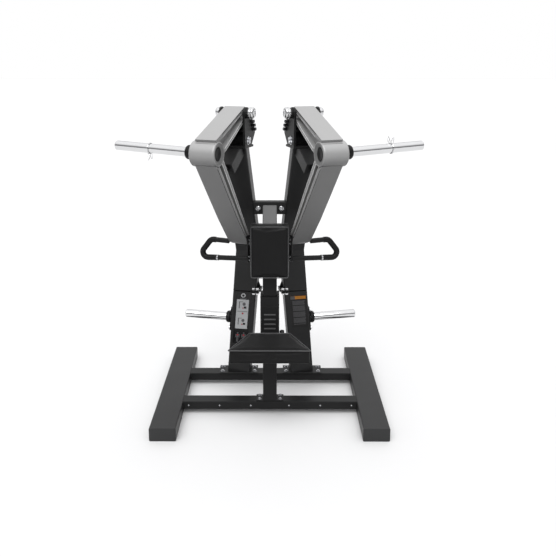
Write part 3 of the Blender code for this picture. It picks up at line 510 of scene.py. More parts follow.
def build_arm(side, s):
    body = side + "_arm"
    mtx = arm_matrix(s)

    def pt(m, u, z):
        return tuple(mtx @ Vector((s * m, -u, z)))

    axis_m = (mtx.to_3x3() @ Vector((s, 0, 0))).normalized()

    # upper beam
    top_a, top_b = (-0.0175, 0.0338), (0.3490, -0.1088)
    bot_a, bot_b, bot_c = (-0.0300, -0.0340), (0.1500, -0.1299), (0.2950, -0.2071)
    top_mid = lerp(top_a, top_b, 0.5)
    rings = [beam_ring(top_a, bot_a, 0.020, 0.017, s, mtx), beam_ring(top_mid, bot_b, 0.022, 0.018, s, mtx),
             beam_ring(top_b, bot_c, 0.024, 0.018, s, mtx)]
    upper = piece(side + "_upper_beam_detail", *loft(rings), "arm_silver", None, slot="arm_silver")
    hub_clear = cutter("c1", *lathe(pt(-0.03, *HUB_UZ), axis_m, [(0, 0), (0, HUB_R + 0.0013),
                                                               (0.2, HUB_R + 0.0013), (0.2, 0)], 96))
    bore = cutter("c2", *lathe(pt(-0.03, 0, 0), axis_m, [(0, 0), (0, 0.0193), (0.2, 0.0193), (0.2, 0)], 48))
    boolean(boolean(upper, hub_clear), bore)
    finish_cut(upper, hub_clear, bore)
    soften(upper, 0.0018, 3, 32)
    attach(upper, body)
    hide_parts(side + "_upper_beam")

    # hub, its rim and the cover on the inner end
    m0, m1 = HUB_M
    w = m1 - m0
    prof = [(0.0135, 0.0300), (0.0130, 0.0362), (0.0128, 0.0500), (0.0012, HUB_R - 0.0100), (0.0, HUB_R - 0.0085),
            (0.0, HUB_R - 0.0075),
            (0.0022, HUB_R - 0.0025), (0.0080, HUB_R), (0.0140, HUB_R), (w - 0.0065, HUB_R), (w, HUB_R - 0.0065), (w, 0.0270),
            (w - 0.010, 0.0270), (w - 0.010, 0.0620), (0.020, 0.0620), (0.020, 0.0300)]
    # the hub takes the lighter silver copy: painted highlight
    hub = piece(side + "_arm_hub_detail", *lathe(pt(m0, *HUB_UZ), axis_m, rounded_profile(prof, 0.0028, 5), 96),
                "hub_silver", body, angle=40, slot="arm_silver")
    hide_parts(side + "_arm_hub")
    # dish inside the hub's end rim in the darker silver: painted shade of the recess
    dish = [(0.0012, HUB_R - 0.0105), (-0.0002, HUB_R - 0.0125), (0.0004, HUB_R - 0.0140), (0.0062, 0.0385),
            (0.0068, 0.0372), (0.0120, 0.0372), (0.0120, HUB_R - 0.0105)]
    piece(side + "_hub_dish", *lathe(pt(m0, *HUB_UZ), axis_m, rounded_profile(dish, 0.0008, 3), 72), "dish_grey",
          body, angle=50, slot="arm_silver")
    face = [(0.0028, 0), (0.0020, 0.0080), (0.0006, 0.0250), (0.0, 0.0320), (0.0014, 0.0355), (0.0068, 0.0355),
            (0.0068, 0)]
    cap = piece(side + "_hub_cover_detail", *lathe(pt(m0 + 0.0062, *HUB_UZ), axis_m,
                                                 rounded_profile(face, 0.0015, 4), 72),
                "black_plastic", body, angle=40, slot="black_plastic")
    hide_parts(side + "_hub_cover")

    # lower beam with its closed foot
    stations = []
    for k in (0.0, 0.17, 0.34, 0.50, 0.67, 0.84, 0.92, 1.0):
        f, r = along_line(FRONT_LINE, k), along_line(REAR_LINE, k)
        chord = math.hypot(f[0] - r[0], f[1] - r[1])
        stations.append((f, r, chord * 0.34, chord * 0.30))
    lower = piece(side + "_lower_beam_detail", *loft([beam_ring(*p, s, mtx) for p in stations]), "arm_silver",
                  None, slot="arm_silver")
    clear = cutter("c3", *lathe(pt(-0.03, *HUB_UZ), axis_m, [(0, 0), (0, HUB_R + 0.0010),
                                                           (0.2, HUB_R + 0.0010), (0.2, 0)], 96))
    boolean(lower, clear)
    finish_cut(lower, clear)
    soften(lower, 0.0018, 3, 32)
    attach(lower, body)
    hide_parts(side + "_lower_beam")
    F, R = FRONT_LINE[-1], REAR_LINE[-1]
    dx, dz = F[0] - R[0], F[1] - R[1]
    k = math.hypot(dx, dz)
    down = (dz / k, -dx / k)
    rings = []
    for inset, drop in ((0.0, -0.0004), (0.0, 0.0075), (0.0012, 0.0105), (0.0040, 0.0130), (0.0085, 0.0148)):
        o = (F[0] + down[0] * drop, F[1] + down[1] * drop)
        i = (R[0] + down[0] * drop, R[1] + down[1] * drop)
        ring = []
        for m, t in ((0.0006 + inset * 0.3, 0.03), (ARM_W - 0.012 - inset, 0.0 + 0.03),
                     (ARM_W - 0.005 - inset, 0.07), (ARM_W - 0.0006 - inset, 0.20),
                     (ARM_W - 0.0006 - inset, 0.80), (ARM_W - 0.005 - inset, 0.93),
                     (ARM_W - 0.012 - inset, 0.985), (0.0006 + inset * 0.3, 0.985)):
            ring.append(pt(m, i[0] + (o[0] - i[0]) * t, i[1] + (o[1] - i[1]) * t))
        rings.append(ring)
    toe = piece(side + "_beam_foot", *loft(rings), "arm_silver", body, slot="arm_silver")
    soften(toe, 0.0008, 2, 35)

    # lighter beads along the lip edges of the inner pockets, a painted highlight, and a dark bead beside each outer
    # face, painted shade standing in for a groove
    def rail(points, m, radius, lift=0.0):
        return loft(sweep([pt(m, u, z) for u, z in points], radius, 10, normal=tuple(axis_m)))

    def shifted(o, i, dist, from_inner):
        length = math.hypot(o[0] - i[0], o[1] - i[1])
        t = dist / length if from_inner else 1 - dist / length
        return (i[0] + (o[0] - i[0]) * t, i[1] + (o[1] - i[1]) * t)
    lips, groove_shades = [], []
    up_st = [(top_a, bot_a, 0.020, 0.017), (top_mid, bot_b, 0.022, 0.018), (top_b, bot_c, 0.024, 0.018)]
    up_st = [tuple(lerp(a, b, 0.14) if isinstance(a, tuple) else a + (b - a) * 0.14
                   for a, b in zip(up_st[0], up_st[1]))] + [up_st[1]] + \
            [tuple(lerp(a, b, 0.62) if isinstance(a, tuple) else a + (b - a) * 0.62
                   for a, b in zip(up_st[1], up_st[2]))]
    low_st = [tuple(lerp(a, b, 0.36) if isinstance(a, tuple) else a + (b - a) * 0.36
                    for a, b in zip(stations[0], stations[1]))] + stations[1:]
    for st in (up_st, low_st):
        lips.append(rail([shifted(o, i, r - 0.0014, True) for o, i, f, r in st], 0.0004, 0.0022))
        lips.append(rail([shifted(o, i, 0.0016, True) for o, i, f, r in st], 0.0004, 0.0016))
        lips.append(rail([shifted(o, i, f - 0.0010, False) for o, i, f, r in st], 0.0004, 0.0011))
        # dark bead of painted shade along the groove line
        groove_shades.append(rail([shifted(o, i, 0.0042, False) for o, i, f, r in st], -0.0002, 0.0016))
    piece(side + "_beam_lip_painted_highlights", *merge(lips), "arm_edge", body, angle=60, slot="arm_silver")
    piece(side + "_beam_groove_painted_shade_lines", *merge(groove_shades), "joint_dark", body, angle=60, slot="powder_dark")

    # thin weld bead where the upper beam meets the hub
    beads = []
    for (u, z), lo, hi in (((0.3170 + 0.0360, -0.183 + 0.0570), 0.004, ARM_W - 0.004),):
        path = [pt(m, u, z) for m in (lo, (lo + hi) / 2, hi)]
        beads.append(loft(sweep(path, 0.0016, 10, normal=(0, 0, 1))))
    piece(side + "_hub_seam", *merge(beads), "arm_silver", body, slot="arm_silver")

    # handle
    hu = -0.0490
    A, B = (ARM_W + GAP, -0.7330), (0.2290, -0.7330)
    Cc, D = (0.3180, -0.8477), (0.0016, -0.8250)
    path = fillet_path([pt(m, hu, z) for m, z in (A, B, Cc, D)], (0.036, 0.030), 14)
    bar = piece(side + "_handle_bar_detail", *loft(sweep(path, 0.0145, 32)), "powder_dark", body,
                slot="powder_dark")
    soften(bar, 0.0015, 3, 50)
    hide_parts(side + "_handle_bar")
    start, stop = 0.1980, 0.1930
    p0 = pt(start, hu, A[1] + (B[1] - A[1]) * (start - A[0]) / (B[0] - A[0]))
    p1 = pt(stop, hu, Cc[1] + (D[1] - Cc[1]) * (stop - Cc[0]) / (D[0] - Cc[0]))
    core = [Vector(p0)] + path[1:-1] + [Vector(p1)]
    # rubber sleeve: a rolled lip at both ends and fine grip rings between
    dense, radii = [], []
    total = sum((b - a).length for a, b in zip(core[:-1], core[1:]))
    n, walked, seg = 150, 0.0, 0
    for q in range(n + 1):
        want = total * q / n
        while seg < len(core) - 2 and walked + (core[seg + 1] - core[seg]).length < want:
            walked += (core[seg + 1] - core[seg]).length
            seg += 1
        step = core[seg + 1] - core[seg]
        dense.append(core[seg] + step * ((want - walked) / step.length))
        edge = min(want, total - want)
        r = 0.0167 + 0.00025 * math.cos(want / 0.0046 * 2 * math.pi)
        if edge < 0.006:
            r = 0.0156 + 0.0014 * math.sin(min(edge / 0.003, 1) * math.pi / 2)
        radii.append(r)
    normal = (core[1] - core[0]).cross(core[len(core) // 2] - core[0]).normalized()
    grip = piece(side + "_handle_grip_detail", *loft(sweep(dense, 0.0167, 32, normal=normal, radii=radii)),
                 "grip_rubber", body, angle=60, slot="grip_rubber")
    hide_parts(side + "_handle_grip")
    # bright ring that closes the grip's lower end
    d = (Vector(p1) - Vector(pt(0.30, hu, Cc[1] + (D[1] - Cc[1]) * (0.30 - Cc[0]) / (D[0] - Cc[0])))).normalized()
    ring_prof = rounded_profile([(0, 0.0148), (0, 0.0171), (0.0095, 0.0171), (0.0095, 0.0148)], 0.0008, 3)
    piece(side + "_grip_ring", *lathe(Vector(p1) + d * 0.0004, d, ring_prof, 48), "zinc", body, angle=40,
          slot="chrome")
    bolts = []
    inner = -axis_m
    for u, z in ((-0.048, -0.716), (-0.049, -0.738), (-0.049, -0.814), (-0.049, -0.834)):
        bolts.append(hex_bolt(pt(-0.0063, u, z), inner, 0.0125, 0.0034, washer=False, socket=True))
    piece(side + "_handle_bolts", *merge(bolts), "zinc", body, slot="chrome")

    # plate horn and collar
    tilt = TOP_HORN_TILT
    local = Vector((s * math.cos(tilt), 0, math.sin(tilt)))
    axis = (mtx.to_3x3() @ local).normalized()

    def along(dist):
        return mtx @ (Vector((s * m1, -HUB_UZ[0], HUB_UZ[1] + 0.003)) + local * dist)
    prof = [(0, 0), (0, HORN_R - 0.0004), (0.047, HORN_R - 0.0004), (0.0474, HORN_R),
            (TOP_HORN_LEN + 0.0075 - 0.004, HORN_R), (TOP_HORN_LEN + 0.0075, HORN_R - 0.005),
            (TOP_HORN_LEN + 0.0075, 0)]
    horn = piece(side + "_plate_horn_detail", *lathe(along(-0.0075), axis, rounded_profile(prof, 0.0022, 5), 72),
                 "chrome", body, angle=40, slot="chrome")
    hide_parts(side + "_plate_horn")
    prof = [(0, HORN_R + 0.0004), (0, 0.0345), (0.003, 0.0370), (0.028, 0.0370), (0.036, 0.0315),
            (0.036, HORN_R + 0.0004)]
    collar = piece(side + "_horn_collar_detail", *lathe(along(0.0020), axis, rounded_profile(prof, 0.0020, 4), 64),
                   "black_plastic", body, angle=40, slot="black_plastic")
    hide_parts(side + "_horn_collar")
    return along, axis


def build_clip(side, s, along, axis, at):
    """Wound wire clip: a close coil on the horn and two finger loops that stand off it."""
    body = side + "_clip"
    wire = 0.0018
    r = HORN_R + 0.0006 + wire
    ax = Vector(axis).normalized()
    sv = ax.cross(Vector((0, 0, 1))).normalized()
    up = sv.cross(ax).normalized()
    turns, n = 2.12, 150
    flip = -s
    a0 = math.radians(flip * -68)
    pts = []
    for i in range(n + 1):
        t = i / n
        a = a0 - flip * 2 * math.pi * turns * t
        pts.append(along(at + 0.0024 + 0.0094 * t) + (sv * math.cos(a) + up * math.sin(a)) * r)

    # finger loops: out from each end of the coil, round a narrow bow and back to the coil
    def loop(base, radial, tangent, sign):
        out = []
        long, half = 0.036, 0.0062
        steps = [(0.0, 0.0), (0.35, 0.15), (0.70, 0.35), (0.90, 0.70), (1.0, 1.0), (0.97, 1.45), (0.86, 1.80),
                 (0.62, 2.0), (0.34, 1.98), (0.10, 1.85)]
        smooth = []
        for k in range(len(steps) - 1):
            for q in range(4):
                smooth.append(lerp(steps[k], steps[k + 1], q / 4))
        smooth.append(steps[-1])
        for reach, over in smooth:
            out.append(base + radial * (long * reach) + tangent * (sign * half * over))
        return out
    first, last = pts[0], pts[-1]
    rad0 = (first - along(at + 0.0024)).normalized()
    rad1 = (last - along(at + 0.0118)).normalized()
    full = list(reversed(loop(first, rad0, ax, 1))) + pts + loop(last, rad1, ax, -1)
    curve = bpy.data.curves.new(side + "_spring_clip_wire", "CURVE")
    curve.dimensions = "3D"
    curve.bevel_depth = wire
    curve.bevel_resolution = 5
    curve.use_fill_caps = True
    sp = curve.splines.new("POLY")
    sp.points.add(len(full) - 1)
    for q, p in zip(sp.points, full):
        q.co = (*p, 1)
    tmp = bpy.data.objects.new("clip_tmp", curve)
    bpy.context.scene.collection.objects.link(tmp)
    bpy.context.view_layer.update()
    mesh = bpy.data.meshes.new_from_object(tmp.evaluated_get(bpy.context.evaluated_depsgraph_get()))
    bpy.data.objects.remove(tmp, do_unlink=True)
    ob = bpy.data.objects.new(side + "_spring_clip_wire", mesh)
    bpy.context.scene.collection.objects.link(ob)
    mesh.materials.clear()
    mesh.materials.append(M["chrome"])
    mesh.shade_smooth()
    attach(ob, body)
    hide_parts(side + "_spring_clip")


# ------------------------------------------------------------------ pivots and stops
def build_pivot(side, s):
    body = "base_frame"
    mtx = arm_matrix(s)

    def pt(m, u, z):
        return mtx @ Vector((s * m, -u, z))
    axis = (mtx.to_3x3() @ Vector((s, 0, 0))).normalized()
    # shaft with a dished, chamfered nut on each side
    x0, x1 = -0.0650, ARM_W + 0.0416
    n0, n1 = -0.035 - GAP, ARM_W + 0.018 + GAP
    prof = [(x0 + 0.0045, 0), (x0 + 0.0045, 0.0105), (x0 + 0.0008, 0.0135), (x0, 0.0190), (x0 + 0.0022, 0.0265),
            (x0 + 0.0075, 0.0310), (x0 + 0.0170, 0.0310), (x0 + 0.0180, 0.0296), (x0 + 0.0200, 0.0296),
            (x0 + 0.0210, 0.0310), (n0 - 0.0010, 0.0310), (n0, 0.0300), (n0, SHAFT_R), (n1, SHAFT_R),
            (n1, 0.0285), (x1 - 0.008, 0.0285), (x1 - 0.002, 0.0240), (x1, 0.0170), (x1 - 0.003, 0.0100),
            (x1 - 0.003, 0)]
    shaft = piece(side + "_pivot_shaft_detail", *lathe(pt(0, 0, 0), axis, rounded_profile(prof, 0.0013, 4), 72),
                  "chrome", body, angle=40, slot="chrome")
    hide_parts(side + "_pivot_shaft")
    # grease ring on the boss
    ring = rounded_profile([(-0.0205, 0.0290), (-0.0205, 0.0318), (-0.0165, 0.0318), (-0.0165, 0.0290)], 0.0008, 3)
    piece(side + "_boss_ring", *lathe(pt(0, 0, 0), axis, ring, 64), "powder_dark", body, angle=40,
          slot="powder_dark")
    # bracket bolts, black on the cheek's rear edge and bright at its foot
    dark, bright = [], []
    for u, z in ((-0.070, -0.050), (-0.084, -0.072), (-0.094, -0.094)):
        dark.append(hex_bolt(pt(-0.0182, u, z), -axis, 0.0175, 0.0145, washer=True))
        dark.append(hex_bolt(pt(ARM_W + 0.0182, u, z), axis, 0.0165, 0.0070, washer=True))
    for u, z in ((-0.020, -0.141), (-0.016, -0.158)):
        bright.append(hex_bolt(pt(-0.0182, u, z), -axis, 0.0180, 0.0110, washer=True))
        bright.append(hex_bolt(pt(ARM_W + 0.0182, u, z), axis, 0.0180, 0.0070, washer=True))
    piece(side + "_bracket_black_bolts", *merge(dark), "black_oxide", body)
    piece(side + "_bracket_bright_bolts", *merge(bright), "zinc", body, slot="chrome")

    # rubber bumper: waisted, with a washer-shaped step on the stop bar's side
    A, B = REAR_LINE[0], REAR_LINE[1]
    k = math.hypot(B[0] - A[0], B[1] - A[1])
    d = ((B[0] - A[0]) / k, (B[1] - A[1]) / k)
    n = (d[1], -d[0])
    if n[0] > 0:
        n = (-n[0], -n[1])
    mid = lerp(STOP_FACE[0], STOP_FACE[1], 0.5)
    dist = (mid[0] - A[0]) * n[0] + (mid[1] - A[1]) * n[1]
    startp = (mid[0] - n[0] * (dist - GAP), mid[1] - n[1] * (dist - GAP))
    length = dist - 2 * GAP
    ax = (mtx.to_3x3() @ Vector((0, -n[0], n[1]))).normalized()
    prof = [(0, 0), (0, 0.0185), (0.004, 0.0235), (0.010, 0.0248), (0.024, 0.0225), (0.034, 0.0225),
            (0.048, 0.0248), (length - 0.006, 0.0248), (length - 0.0035, 0.0238), (length - 0.003, 0.0238),
            (length, 0.0238), (length, 0)]
    bump = piece(side + "_stop_bumper_detail",
                 *lathe(mtx @ Vector((s * ARM_W / 2, -startp[0], startp[1])), ax, rounded_profile(prof, 0.0030, 4), 56),
                 "grip_rubber", body, angle=45, slot="grip_rubber")
    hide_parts(side + "_stop_bumper")


# ------------------------------------------------------------------ storage horns
def build_storage(side, s):
    c, t = math.cos(COL_TURN), math.sin(COL_TURN)
    out, back = Vector((s * c, t, 0)), Vector((-s * t, c, 0))
    ctr = on_leg(0.474)
    face = Vector((ctr[0] * -s, Yd(ctr[1]), ctr[2])) + out * (COL_W / 2) + back * (COL_D / 2)
    lean = (COL_BEND[0] - COL_FOOT[0]) / (COL_BEND[2] - COL_FOOT[2])
    lean_y = (COL_BEND[1] - COL_FOOT[1]) / (COL_BEND[2] - COL_FOOT[2])
    up = Vector((-s * lean, lean_y, 1.0)).normalized()
    normal = back.cross(up).normalized()
    if normal.dot(out) < 0:
        normal = -normal
    wide = up.cross(normal).normalized()
    axis = (out + Vector((0, 0, math.tan(math.radians(1.0))))).normalized()
    root = face + normal * 0.0083
    L = 0.297
    prof = [(0, 0), (0, HORN_R - 0.0004), (0.030, HORN_R - 0.0004), (0.0304, HORN_R), (L - 0.004, HORN_R),
            (L, HORN_R - 0.005), (L, 0)]
    horn = piece(side + "_storage_horn_detail", *lathe(root + axis * 0.0022, axis, rounded_profile(prof, 0.0022, 5), 72),
                 "chrome", "base_frame", angle=40, slot="chrome")
    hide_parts(side + "_storage_horn")
    prof = [(0, HORN_R + 0.0004), (0, 0.0330), (0.003, 0.0368), (0.018, 0.0370), (0.026, 0.0310),
            (0.026, HORN_R + 0.0004)]
    collar = piece(side + "_storage_collar_detail",
                   *lathe(root + axis * 0.0035, axis, rounded_profile(prof, 0.0022, 4), 64),
                   "black_plastic", "base_frame", angle=40, slot="black_plastic")
    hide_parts(side + "_storage_collar")
    parts = []
    for b in (0.066, -0.066):
        for a in (0.019, -0.019):
            parts.append(hex_bolt(face + normal * 0.0080 + up * b + wide * a, normal, 0.0170, 0.0075))
    piece(side + "_storage_bolts", *merge(parts), "zinc", "base_frame", slot="chrome")


# ------------------------------------------------------------------ column details
def column_face(s, a, z, lift=0.0):
    """Point on a column's front face: a metres outwards of its middle, at height z."""
    c, t = math.cos(COL_TURN), math.sin(COL_TURN)
    if z <= COL_BEND[2]:
        p = on_leg(z)
    else:
        f = (z - COL_BEND[2]) / (COL_TOP[2] - COL_BEND[2])
        p = lerp(COL_BEND, COL_TOP, f)
    q = Vector((p[0] * -s + s * c * a, Yd(p[1]) + t * a, z))
    lean = Vector((-s * (COL_BEND[0] - COL_FOOT[0]), COL_BEND[1] - COL_FOOT[1], COL_BEND[2] - COL_FOOT[2]))
    n = Vector((s * c, t, 0)).cross(lean).normalized()
    if n.y > 0:
        n = -n
    return q + n * lift


def label(name, corners, lift, mat, thick=0.0006, soft=0.0):
    """Thin plate on a column's front face; each corner is metres outwards of its middle and a height."""
    s = -1 if name.startswith("left") else 1
    rings = [[tuple(column_face(s, a, z, d)) for a, z in corners] for d in (lift, lift + thick)]
    return piece(name, *loft(rings), mat, "base_frame")


def in_quad(corners, u, v):
    """A point at fractions u across and v down a quad given as top-left, top-right, bottom-right, bottom-left."""
    tl, tr, br, bl = corners
    a = lerp(tl, tr, u)
    b = lerp(bl, br, u)
    return lerp(a, b, v)


def patch(corners, u0, v0, u1, v1):
    return [in_quad(corners, u0, v0), in_quad(corners, u1, v0), in_quad(corners, u1, v1), in_quad(corners, u0, v1)]


def disc(corners, u, v, ru, rv, n=18, a0=0.0, a1=360.0):
    return [in_quad(corners, u + ru * math.cos(math.radians(a0 + (a1 - a0) * i / n)),
                    v + rv * math.sin(math.radians(a0 + (a1 - a0) * i / n))) for i in range(n)]


def build_labels():
    # left: black placard with a plain round emblem, a white picture panel and coloured marks
    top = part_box("left_lower_column")[1][2] - 0.012
    board = [(0.054, top), (-0.044, top), (-0.044, top - 0.372), (0.054, top - 0.372)]
    label("left_placard_board", board, 0.0004, "label_black", 0.0012)
    label("left_placard_emblem", disc(board, 0.50, 0.068, 0.150, 0.040), 0.0017, "label_white")
    label("left_placard_emblem_centre", disc(board, 0.50, 0.068, 0.080, 0.021), 0.0024, "label_black")
    label("left_placard_bar", patch(board, 0.30, 0.121, 0.72, 0.133), 0.0017, "label_grey")
    white = [(0.0435, top - 0.054), (-0.033, top - 0.054), (-0.033, top - 0.262), (0.0435, top - 0.262)]
    label("left_placard_panel", white, 0.0017, "label_white")
    label("left_placard_rule", patch(white, 0.05, 0.395, 0.95, 0.408), 0.0024, "label_grey")
    # simple machine pictures: a curved frame line and a seat block
    for k, v in enumerate((0.20, 0.76)):
        label("left_placard_pic_a%d" % k, patch(white, 0.20, v - 0.13, 0.27, v + 0.10), 0.0024, "label_grey")
        label("left_placard_pic_b%d" % k, patch(white, 0.20, v - 0.13, 0.52, v - 0.115), 0.0024, "label_grey")
        label("left_placard_pic_c%d" % k, disc(white, 0.62, v - 0.05, 0.13, 0.055), 0.0024, "label_grey")
        label("left_placard_pic_d%d" % k, patch(white, 0.62, v + 0.03, 0.82, v + 0.10), 0.0024, "label_black")
        label("left_placard_pic_e%d" % k, disc(white, 0.55, v + 0.085, 0.05, 0.022), 0.0024, "label_red")
    label("left_placard_mark", disc(white, 0.55, 0.47, 0.075, 0.032), 0.0024, "label_red")
    # two plain standing figures
    for k, u in enumerate((0.30, 0.70)):
        label("left_placard_fig_head%d" % k, disc(board, u, 0.790, 0.045, 0.014), 0.0017, "label_grey")
        label("left_placard_fig_body%d" % k, patch(board, u - 0.065, 0.812, u + 0.065, 0.875), 0.0017, "label_grey")
        label("left_placard_fig_arm_a%d" % k, patch(board, u - 0.135, 0.815, u - 0.085, 0.880), 0.0017, "label_grey")
        label("left_placard_fig_arm_b%d" % k, patch(board, u + 0.085, 0.815, u + 0.135, 0.880), 0.0017, "label_grey")
        label("left_placard_fig_leg_a%d" % k, patch(board, u - 0.065, 0.880, u - 0.012, 0.965), 0.0017, "label_grey")
        label("left_placard_fig_leg_b%d" % k, patch(board, u + 0.012, 0.880, u + 0.065, 0.965), 0.0017, "label_grey")
        label("left_placard_fig_mark%d" % k, patch(board, u - 0.05, 0.818, u + 0.05, 0.842), 0.0024, "label_red")

    # right: dark notice with an orange header and grey rules
    note = [(-0.040, top - 0.026), (0.062, top - 0.026), (0.062, top - 0.251), (-0.040, top - 0.251)]
    label("right_notice_board", note, 0.0004, "label_dark", 0.0010)
    label("right_notice_header", patch(note, 0.02, 0.015, 0.98, 0.110), 0.0015, "label_orange")
    label("right_notice_header_block", patch(note, 0.02, 0.015, 0.30, 0.110), 0.0022, "label_grey")
    v = 0.165
    row = 0
    while v < 0.90:
        if row % 7 != 5:
            right_end = 0.90 - 0.05 * ((row * 37) % 5) / 4.0
            label("right_notice_rule_%02d" % row, patch(note, 0.12, v, right_end, v + 0.014), 0.0015, "label_grey",
                  0.0003)
        v += 0.027
        row += 1


def build_frame_details():
    # column joints: bolts through the flanges, and the gusset above
    for side, s in SIDES:
        bright = []
        c, t = math.cos(COL_TURN), math.sin(COL_TURN)
        out, back = Vector((s * c, t, 0)), Vector((-s * t, c, 0))
        mid = on_leg(COL_JOINT_Z)
        base = Vector((mid[0] * -s, Yd(mid[1]), COL_JOINT_Z))
        # a lug on the inner front corner takes two bolts, and a band of filler hides the joint elsewhere
        for z0, z1 in ((-0.0105, -0.0004), (0.0004, 0.0105)):
            rings = []
            for z in (z0, z1):
                mz = on_leg(COL_JOINT_Z + z)
                bz = Vector((mz[0] * -s, Yd(mz[1]), mz[2]))
                rings.append([tuple(bz + out * a + back * b) for a, b in
                              ((-COL_W / 2 - 0.0200, -0.0200), (-COL_W / 2 + 0.0270, -0.0200),
                               (-COL_W / 2 + 0.0340, 0.0040), (-COL_W / 2 - 0.0200, 0.0120))])
            soften(piece(side + "_joint_lug_%s" % ("low" if z0 < 0 else "top"), *loft(rings), "powder_dark",
                         "base_frame", slot="powder_dark"), 0.0012, 3)
        rings = []
        for z, grow in ((-0.0045, 0.0001), (-0.0035, 0.0005), (0.0035, 0.0005), (0.0045, 0.0001)):
            mz = on_leg(COL_JOINT_Z + z)
            bz = Vector((mz[0] * -s, Yd(mz[1]), mz[2]))
            ring = []
            for cx, cy, a0 in ((COL_W / 2 - 0.006, 0.006 - COL_D / 2, -90), (COL_W / 2 - 0.006, COL_D / 2 - 0.006, 0),
                               (0.006 - COL_W / 2, COL_D / 2 - 0.006, 90), (0.006 - COL_W / 2, 0.006 - COL_D / 2, 180)):
                for i in range(5):
                    ang = math.radians(a0 + 90 * i / 4)
                    ring.append(tuple(bz + out * (cx + (0.006 + grow) * math.cos(ang))
                                      + back * (COL_D / 2 + cy + (0.006 + grow) * math.sin(ang))))
            rings.append(ring)
        piece(side + "_joint_band", *loft(rings), "powder_black", "base_frame", slot="powder_black")
        for a in (0.0140, -0.0090):
            p = base + out * (-COL_W / 2 + a) - back * 0.0085
            bright.append(hex_bolt(p + Vector((0, 0, 0.0105)), (0, 0, 1), 0.0165, 0.0090))
            bright.append(hex_bolt(p - Vector((0, 0, 0.0105)), (0, 0, -1), 0.0165, 0.0100))
        piece(side + "_joint_bolts", *merge(bright), "chrome", "base_frame", slot="chrome")
        rings = []
        for b in (0.036, 0.044):
            rings.append([tuple(base + out * a + back * b + Vector((0, 0, z))) for a, z in
                          ((-COL_W / 2 - 0.024, 0.0102), (-COL_W / 2 + 0.010, 0.0102),
                           (-COL_W / 2 + 0.014, 0.075), (-COL_W / 2 - 0.004, 0.062))])
        soften(piece(side + "_joint_gusset", *loft(rings), "powder_dark", "base_frame", slot="powder_dark"),
               0.0008, 2)
        # foot plate bolts
        fx = COL_FOOT[0] * -s
        parts = []
        for x in (fx - 0.104, fx + 0.104):
            for d in (4.522, 4.585):
                parts.append(hex_bolt((x, Yd(d), 0.0885), (0, 0, 1), 0.0155, 0.0080))
        piece(side + "_foot_bolts", *merge(parts), "zinc", "base_frame", slot="chrome")
        # end caps: a shallow frame line inset from the edge
        for end, y, outd in (("front", Yd(3.831), -1), ("rear", Yd(4.918), 1)):
            xc = s * 0.595
            rings = []
            for k, dy in ((1.0, 0.0), (0.985, 0.0006)):
                ring = []
                for px, pz in ((-0.0725, 0.0025), (0.0725, 0.0025), (0.0725, 0.0775), (-0.0725, 0.0775)):
                    ring.append((xc + px * k, y + outd * dy, 0.04 + (pz - 0.04) * k))
                rings.append(ring)
            soften(piece(side + "_" + end + "_cap_face", *loft(rings), "cap_plastic", "base_frame",
                         slot="black_plastic"), 0.0004, 2)

    # post foot bolts and front tube screws
    parts = []
    for x in (-0.062, 0.062):
        for d in (4.148, 4.194):
            parts.append(hex_bolt((x, Yd(d), 0.0885), (0, 0, 1), 0.0135, 0.0070))
    piece("post_foot_bolts", *merge(parts), "zinc", "base_frame", slot="chrome")
    parts = []
    lo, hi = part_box("front_cross_tube")
    for k in (-0.935, -0.579, -0.219, 0.219, 0.579, 0.935):
        x = (lo[0] + hi[0]) / 2 + k * (hi[0] - lo[0]) / 2
        parts.append(hex_bolt((x, lo[1] - 0.0001, (lo[2] + hi[2]) / 2 + 0.0015), (0, -1, 0), 0.0095, 0.0026, washer=False, socket=True))
    piece("front_tube_screws", *merge(parts), "zinc", "base_frame", slot="chrome")

    # cross beam: button heads
    parts = []
    for x in (-0.066, 0.066):
        prof = rounded_profile([(0, 0), (0, 0.0150), (0.0015, 0.0150), (0.0050, 0.0110), (0.0062, 0.0060),
                                (0.0030, 0.0050), (0.0030, 0)], 0.0010, 3)
        parts.append(lathe((x, Yd(4.200) - 0.0001, 1.2450), (0, -1, 0), prof, 32))
    piece("cross_beam_buttons", *merge(parts), "zinc", "base_frame", slot="chrome")


# ------------------------------------------------------------------ soft goods
def pad_start(name, rings):
    mesh = bpy.data.meshes.new(name)
    bm = bmesh.new()
    verts, faces = loft(rings)
    made = [bm.verts.new(v) for v in verts]
    for f in faces:
        bm.faces.new([made[i] for i in f])
    bmesh.ops.recalc_face_normals(bm, faces=bm.faces[:])
    bm.to_mesh(mesh)
    bm.free()
    ob = bpy.data.objects.new(name, mesh)
    bpy.context.scene.collection.objects.link(ob)
    return ob


def puff(ob, voxel, pressure, cap, flat):
    """Inflate a closed form as cloth, cap how far each point moves, and keep the flat backing flat."""
    rm = ob.modifiers.new("remesh", "REMESH")
    rm.mode = "VOXEL"
    rm.voxel_size = voxel
    apply_all(ob)
    rest = [v.co.copy() for v in ob.data.vertices]
    cloth = ob.modifiers.new("cloth", "CLOTH")
    st = cloth.settings
    st.use_pressure = True
    st.uniform_pressure_force = pressure
    st.tension_stiffness = 25
    st.compression_stiffness = 25
    st.shear_stiffness = 12
    st.bending_stiffness = 1.5
    st.mass = 0.25
    st.effector_weights.gravity = 0.0
    cloth.collision_settings.use_self_collision = False
    scene = bpy.context.scene
    cloth.point_cache.frame_start = 1
    cloth.point_cache.frame_end = 20
    for f in range(1, 21):
        scene.frame_set(f)
    apply_all(ob)
    scene.frame_set(1)
    for v, r in zip(ob.data.vertices, rest):
        d = v.co - r
        if d.length > cap:
            d = d.normalized() * cap
        v.co = r + d
    for v in ob.data.vertices:
        flat(v)
    sub = ob.modifiers.new("smooth", "SUBSURF")
    sub.levels = sub.render_levels = 1
    ob.data.materials.clear()
    ob.data.materials.append(M["upholstery"])
    ob.data.shade_smooth()
    return ob


def crease_noise(p, amount, scale):
    return noise.noise(Vector(p) * scale) * amount


